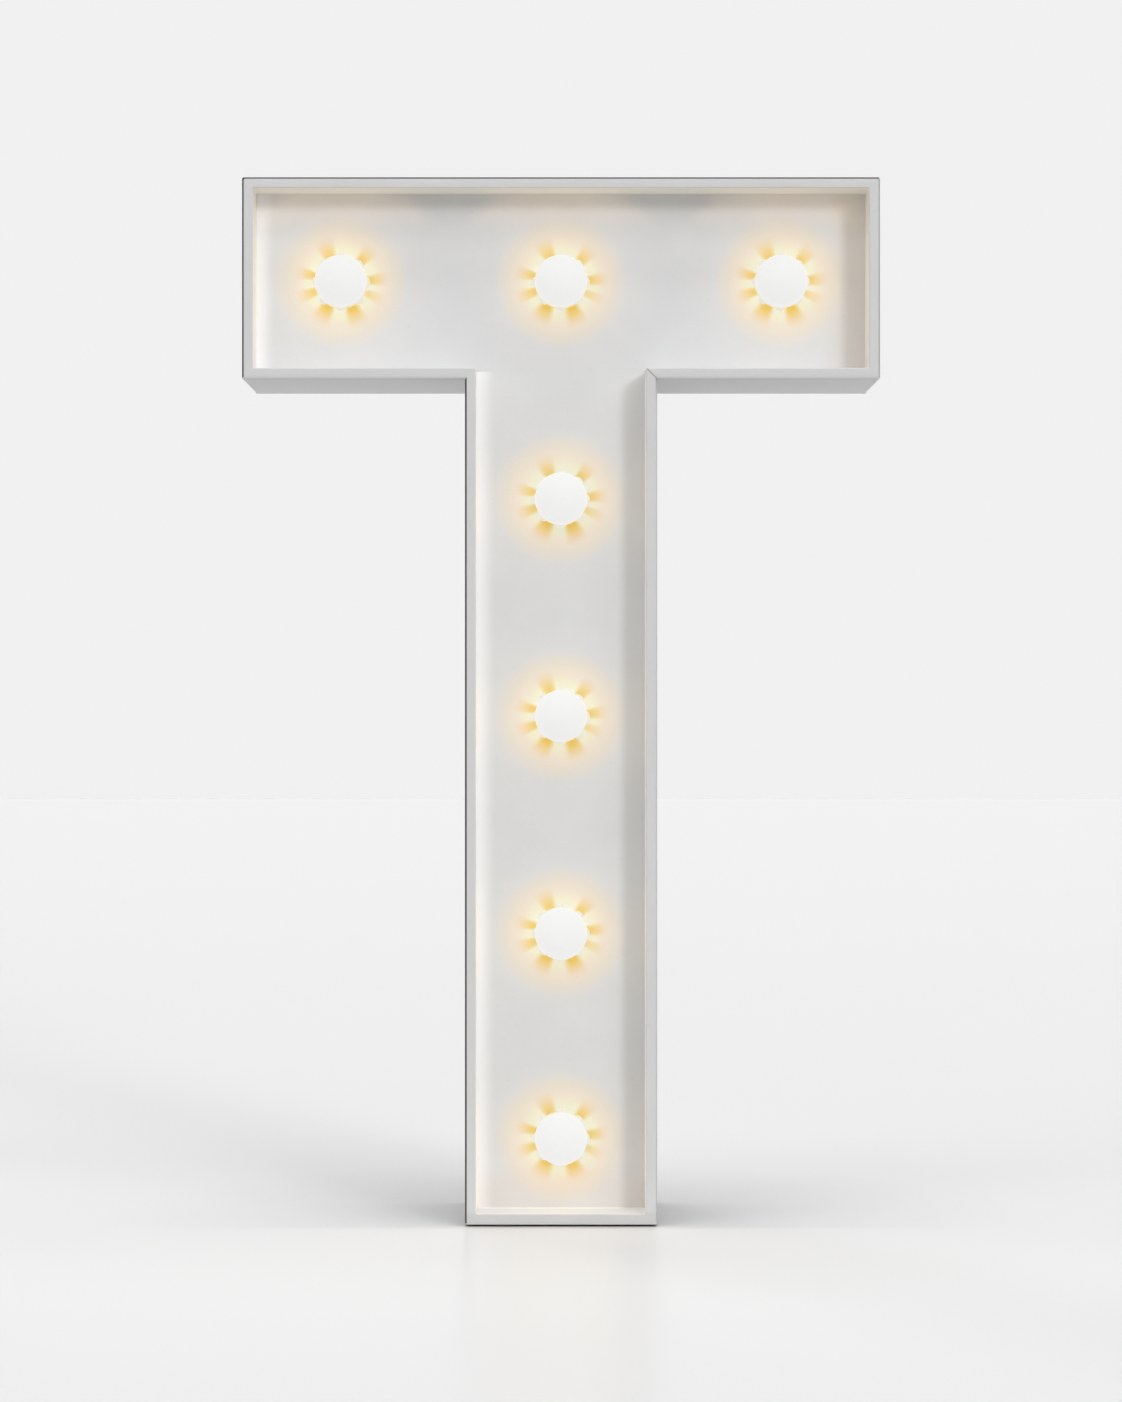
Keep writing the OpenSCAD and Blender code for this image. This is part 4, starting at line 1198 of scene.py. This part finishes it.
@dataclass
class Cells(SubAssembly):
    """The two cells with their contacts and springs."""

    radius: float = 5.25 * MM
    shoulder_round: float = 0.5 * MM
    dish_r: float = 3.9 * MM
    dish_rim_r: float = 4.1 * MM
    dish_depth: float = 0.12 * MM
    nub_r: float = 1.9 * MM
    nub_l: float = 1.0 * MM
    nub_round: float = 0.25 * MM
    nub_foot: float = 0.1 * MM
    groove_rim_r: float = 3.6 * MM
    groove_r: float = 3.4 * MM
    groove_in_r: float = 2.3 * MM
    groove_depth: float = 0.2 * MM
    round_steps: int = 6
    sides: int = 64
    spring_wide_r: float = 3.8 * MM
    spring_narrow_r: float = 2.4 * MM
    spring_turns: int = 3
    spring_wire: float = 0.7 * MM
    spring_steps: int = 96
    spring_sides: int = 12

    def seat(self, node: str, rises: bool) -> np.ndarray:
        """Returns the point on the axis of a node's box, at its low end where the piece rises."""
        low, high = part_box(node)
        return np.array([(low.x + high.x) / 2.0, (low.y + high.y) / 2.0, low.z if rises else high.z])

    def cell_profile(self, length: float) -> tuple[np.ndarray, np.ndarray]:
        """Section of a cell from its dished flat end to its nub, with rolled shoulders.

        Args:
            length: Length with the nub.

        Returns:
            Radii and heights.
        """
        quarter = np.linspace(0.0, np.pi / 2.0, self.round_steps)
        roll, small, top = self.shoulder_round, self.nub_round, length - self.nub_l
        groove = top - self.groove_depth
        radius = [[0.0, self.dish_r, self.dish_rim_r], self.radius - roll + roll * np.sin(quarter),
                  self.radius - roll + roll * np.cos(quarter),
                  [self.groove_rim_r, self.groove_r, self.groove_in_r, self.nub_r],
                  self.nub_r - small + small * np.cos(quarter), [0.0]]
        height = [[self.dish_depth, self.dish_depth, 0.0], roll - roll * np.cos(quarter),
                  top - roll + roll * np.sin(quarter), [top, groove, groove, top - self.nub_foot],
                  length - small + small * np.sin(quarter), [length]]
        return np.concatenate(radius), np.concatenate(height)

    def cell(self, name: str, node: str, nub_up: bool) -> None:
        """Makes one cell in its node's place.

        Args:
            name: Name of the new piece.
            node: CAD node of the cell.
            nub_up: Whether the nub is at the top.
        """
        low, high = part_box(node)
        radius, height = self.cell_profile(high.z - low.z)
        wide = np.repeat(radius[:, None], self.sides, axis=1)
        shape = lathe(wide, height, self.seat(node, nub_up), UP if nub_up else -UP)
        Fitting(name, self.finishes.cell, Slot.CELL, (node,)).make(shape)

    def spring(self, name: str, node: str, cell_node: str, rises: bool) -> None:
        """Makes one conical spring: radius shrinks evenly with the turn, and both ends stand straight.

        Args:
            name: Name of the new piece.
            node: CAD node of the spring.
            cell_node: Cell on the same axis.
            rises: Whether the spring rises from its plate.
        """
        low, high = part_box(node)
        t = np.linspace(0.0, 1.0, self.spring_steps)
        r = self.spring_wide_r + (self.spring_narrow_r - self.spring_wide_r) * t
        angle = 2.0 * np.pi * self.spring_turns * t
        length = high.z - low.z
        rise = self.spring_wire + (length - 2.0 * self.spring_wire) * t
        coil = np.stack([r * np.cos(angle), r * np.sin(angle), rise], axis=-1)
        foot, tip = [self.spring_wide_r, 0.0, 0.0], [self.spring_narrow_r, 0.0, length]
        path = np.vstack([[foot], coil, [tip]])
        if not rises:
            path = path * np.array([1.0, -1.0, -1.0])
        start = self.seat(cell_node, rises)
        start[2] = low.z if rises else high.z
        shape = tube(path + start, self.spring_wire / 2.0, self.spring_sides)
        Fitting(name, self.finishes.spring, Slot.SPRING, (node,)).make(shape)

    def build(self) -> None:
        """Makes the cells and springs and dresses the contacts."""
        self.cell("cell_left", "battery_1", True)
        self.cell("cell_right", "battery_2", False)
        self.spring("spring_low", "contact_spring_1", "battery_1", True)
        self.spring("spring_high", "contact_spring_2", "battery_2", False)
        self.frame.dress(self.finishes.nickel, "contact_positive", "contact_negative", "contact_bridge")


@dataclass
class Switch(SubAssembly):
    """Slide switch: can, base, terminals, knob, clip and screws."""

    round_r: float = 0.12 * MM

    def build(self) -> None:
        """Rounds the knob and the can and dresses the rest."""
        knob = Fitting("slide_knob", self.finishes.knob, Slot.KNOB, ("switch_slider",), Body.SLIDER)
        can = Fitting("slide_can", self.finishes.can, Slot.CAN, ("switch_frame",))
        for fitting in (knob, can):
            self.frame.soften(fitting, self.round_r)
        self.frame.dress(self.finishes.screw, "switch_screws")
        self.frame.dress(self.finishes.base, "switch_base")
        self.frame.dress(self.finishes.nickel, "switch_terminals", "switch_wiper")


@dataclass
class Wiring(SubAssembly):
    """Buses, leads and the resistor behind the panel. The routes repeat those of the part's source."""

    lead_r: float = 0.65 * MM
    sides: int = 12
    steps: int = 6
    positive_mm: Route = (
        (-5.55, 5.3, 87.05), (-5.55, 4.2, 87.05), (-5.55, 3.6, 88.55), (-5.2, 4.0, 92.05), (-4.6, 4.8, 99.0),
        (-3.0, 5.0, 106.0), (-1.0, 5.4, 110.0), (0.0, 6.2, 112.0), (0.0, 8.2, 113.0), (0.0, 9.3, 113.0))
    switch_mm: Route = (
        (3.0, 9.3, 113.0), (3.0, 8.2, 113.0), (2.6, 6.6, 115.0), (0.0, 6.2, 117.5), (-3.5, 5.8, 119.5),
        (-5.6, 5.5, 121.6), (-6.0, 5.4, 123.3), (-6.0, 5.4, 124.4))
    join_mm: Route = (
        (-6.0, 5.4, 137.9), (-6.0, 5.4, 139.2), (-5.9, 4.4, 141.0), (-5.6, 1.0, 143.8), (-5.4, -2.4, 145.8),
        (-4.42, -3.4, 146.3), (-3.02, -3.4, 146.3))
    negative_mm: Route = (
        (5.55, 5.3, 87.05), (5.55, 4.2, 87.05), (5.55, 3.6, 88.55), (5.4, 2.3, 91.55), (5.2, 0.2, 93.55),
        (4.42, -0.8, 94.05), (3.02, -0.8, 94.05))

    def lead(self, *routes_mm: Route) -> Shape:
        """Returns the leads along the routes as one shape."""
        paths = [smooth_path(np.array(route) * MM, self.steps) for route in routes_mm]
        return joined([tube(path, self.lead_r, self.sides) for path in paths])

    def build(self) -> None:
        """Makes the leads and dresses the buses and the resistor."""
        red, black = self.finishes.wire_red, self.finishes.wire_black
        positive = Fitting("lead_positive", red, Slot.WIRE_RED, ("positive_lead",))
        switch = Fitting("lead_switch", red, Slot.WIRE_RED, ("switch_lead",))
        negative = Fitting("lead_negative", black, Slot.WIRE_BLACK, ("negative_lead",))
        positive.make(self.lead(self.positive_mm))
        switch.make(self.lead(self.switch_mm, self.join_mm))
        negative.make(self.lead(self.negative_mm))
        self.frame.dress(red, "positive_bus")
        self.frame.dress(black, "negative_bus")
        self.frame.dress(self.finishes.resistor, "resistor")


@dataclass(frozen=True)
class Softbox:
    """A far, broad lamp.

    Args:
        name: Name of the lamp.
        right_deg: Angle to the right of the camera.
        up_deg: Angle above the floor.
        spread_deg: Breadth of the lamp as seen from the letter.
        strength: Light on a surface that faces the lamp.
    """

    name: str
    right_deg: float
    up_deg: float
    spread_deg: float
    strength: float

    def build(self) -> None:
        """Adds the lamp."""
        right, up = math.radians(self.right_deg), math.radians(self.up_deg)
        way = Vector((math.sin(right) * math.cos(up), -math.cos(right) * math.cos(up), math.sin(up)))
        lamp = bpy.data.lights.new(self.name, "SUN")
        lamp.energy = self.strength
        lamp.angle = math.radians(self.spread_deg)
        sun = bpy.data.objects.new(self.name, lamp)
        sun.rotation_euler = way.to_track_quat("Z", "Y").to_euler()
        sun.visible_glossy = False
        bpy.context.scene.collection.objects.link(sun)


@dataclass
class Studio:
    """Pale floor and backdrop, soft lamps and the camera."""

    backdrop: Colour = (0.877, 0.877, 0.877)
    ambient: Colour = (0.03, 0.03, 0.03)
    floor_half: float = 4.0
    floor_drop: float = 0.3 * MM
    camera_at: Triple = (0.0, -0.9405, 0.110)
    lens_mm: float = 112.35
    sensor_mm: float = 36.0
    clip_start: float = 0.01
    softboxes: tuple[Softbox, ...] = (
        Softbox("key", 24.0, 15.0, 11.0, 0.70),
        Softbox("fill", 0.0, 16.0, 45.0, 0.47),
        Softbox("high_right", 35.0, 38.0, 35.0, 0.68),
        Softbox("high_left", -42.0, 32.0, 40.0, 0.53),
        Softbox("top", 0.0, 86.0, 66.0, 1.62),
        Softbox("rear", -150.0, 8.0, 16.0, 1.00),
    )

    def background(self) -> None:
        """Lights the letter softly all round and shows the pale backdrop to the camera and in gloss."""
        world = bpy.data.worlds.new("Studio")
        world.use_nodes = True
        world.node_tree.nodes.clear()
        sheet = NodeSheet(world.node_tree)
        light = sheet.add("Background", {"Color": self.ambient}).outputs[0]
        shown = sheet.add("Background", {"Color": self.backdrop}).outputs[0]
        both = sheet.add("MixShader", {0: sheet.shown_rays(), 1: light, 2: shown}).outputs[0]
        sheet.add("OutputWorld", {"Surface": both})
        bpy.context.scene.world = world

    def floor(self) -> None:
        """Adds the floor just below the letter."""
        half, z = self.floor_half, -self.floor_drop
        mesh = bpy.data.meshes.new("floor")
        corners = [(-half, -half, z), (half, -half, z), (half, half, z), (-half, half, z)]
        mesh.from_pydata(corners, [], [(0, 1, 2, 3)])
        mesh.materials.append(FloorFinish("Floor pale").build())
        floor = bpy.data.objects.new("floor", mesh)
        bpy.context.scene.collection.objects.link(floor)

    def camera(self) -> None:
        """Adds the camera square to the letter at half its height."""
        lens = bpy.data.cameras.new("camera")
        lens.lens = self.lens_mm
        lens.sensor_width = self.sensor_mm
        lens.sensor_fit = "AUTO"
        lens.clip_start = self.clip_start
        eye = bpy.data.objects.new("camera", lens)
        eye.location = self.camera_at
        eye.rotation_euler = (math.pi / 2.0, 0.0, 0.0)
        bpy.context.scene.collection.objects.link(eye)
        bpy.context.scene.camera = eye

    def build(self) -> None:
        """Sets up the camera, the backdrop, the floor and the lamps."""
        bpy.context.scene.view_settings.view_transform = "Standard"
        self.camera()
        self.background()
        self.floor()
        for softbox in self.softboxes:
            softbox.build()


def main() -> None:
    """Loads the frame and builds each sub-assembly in order."""
    logging.basicConfig(level=logging.INFO, format="%(name)s: %(message)s")
    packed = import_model()
    frame = Frame(packed["nodes"])
    Studio().build()
    finishes = Finishes()
    for sub_assembly in (SideBand, Lamps, Back, Cells, Switch, Wiring):
        sub_assembly(frame, finishes).build()


if __name__ == "__main__":
    main()
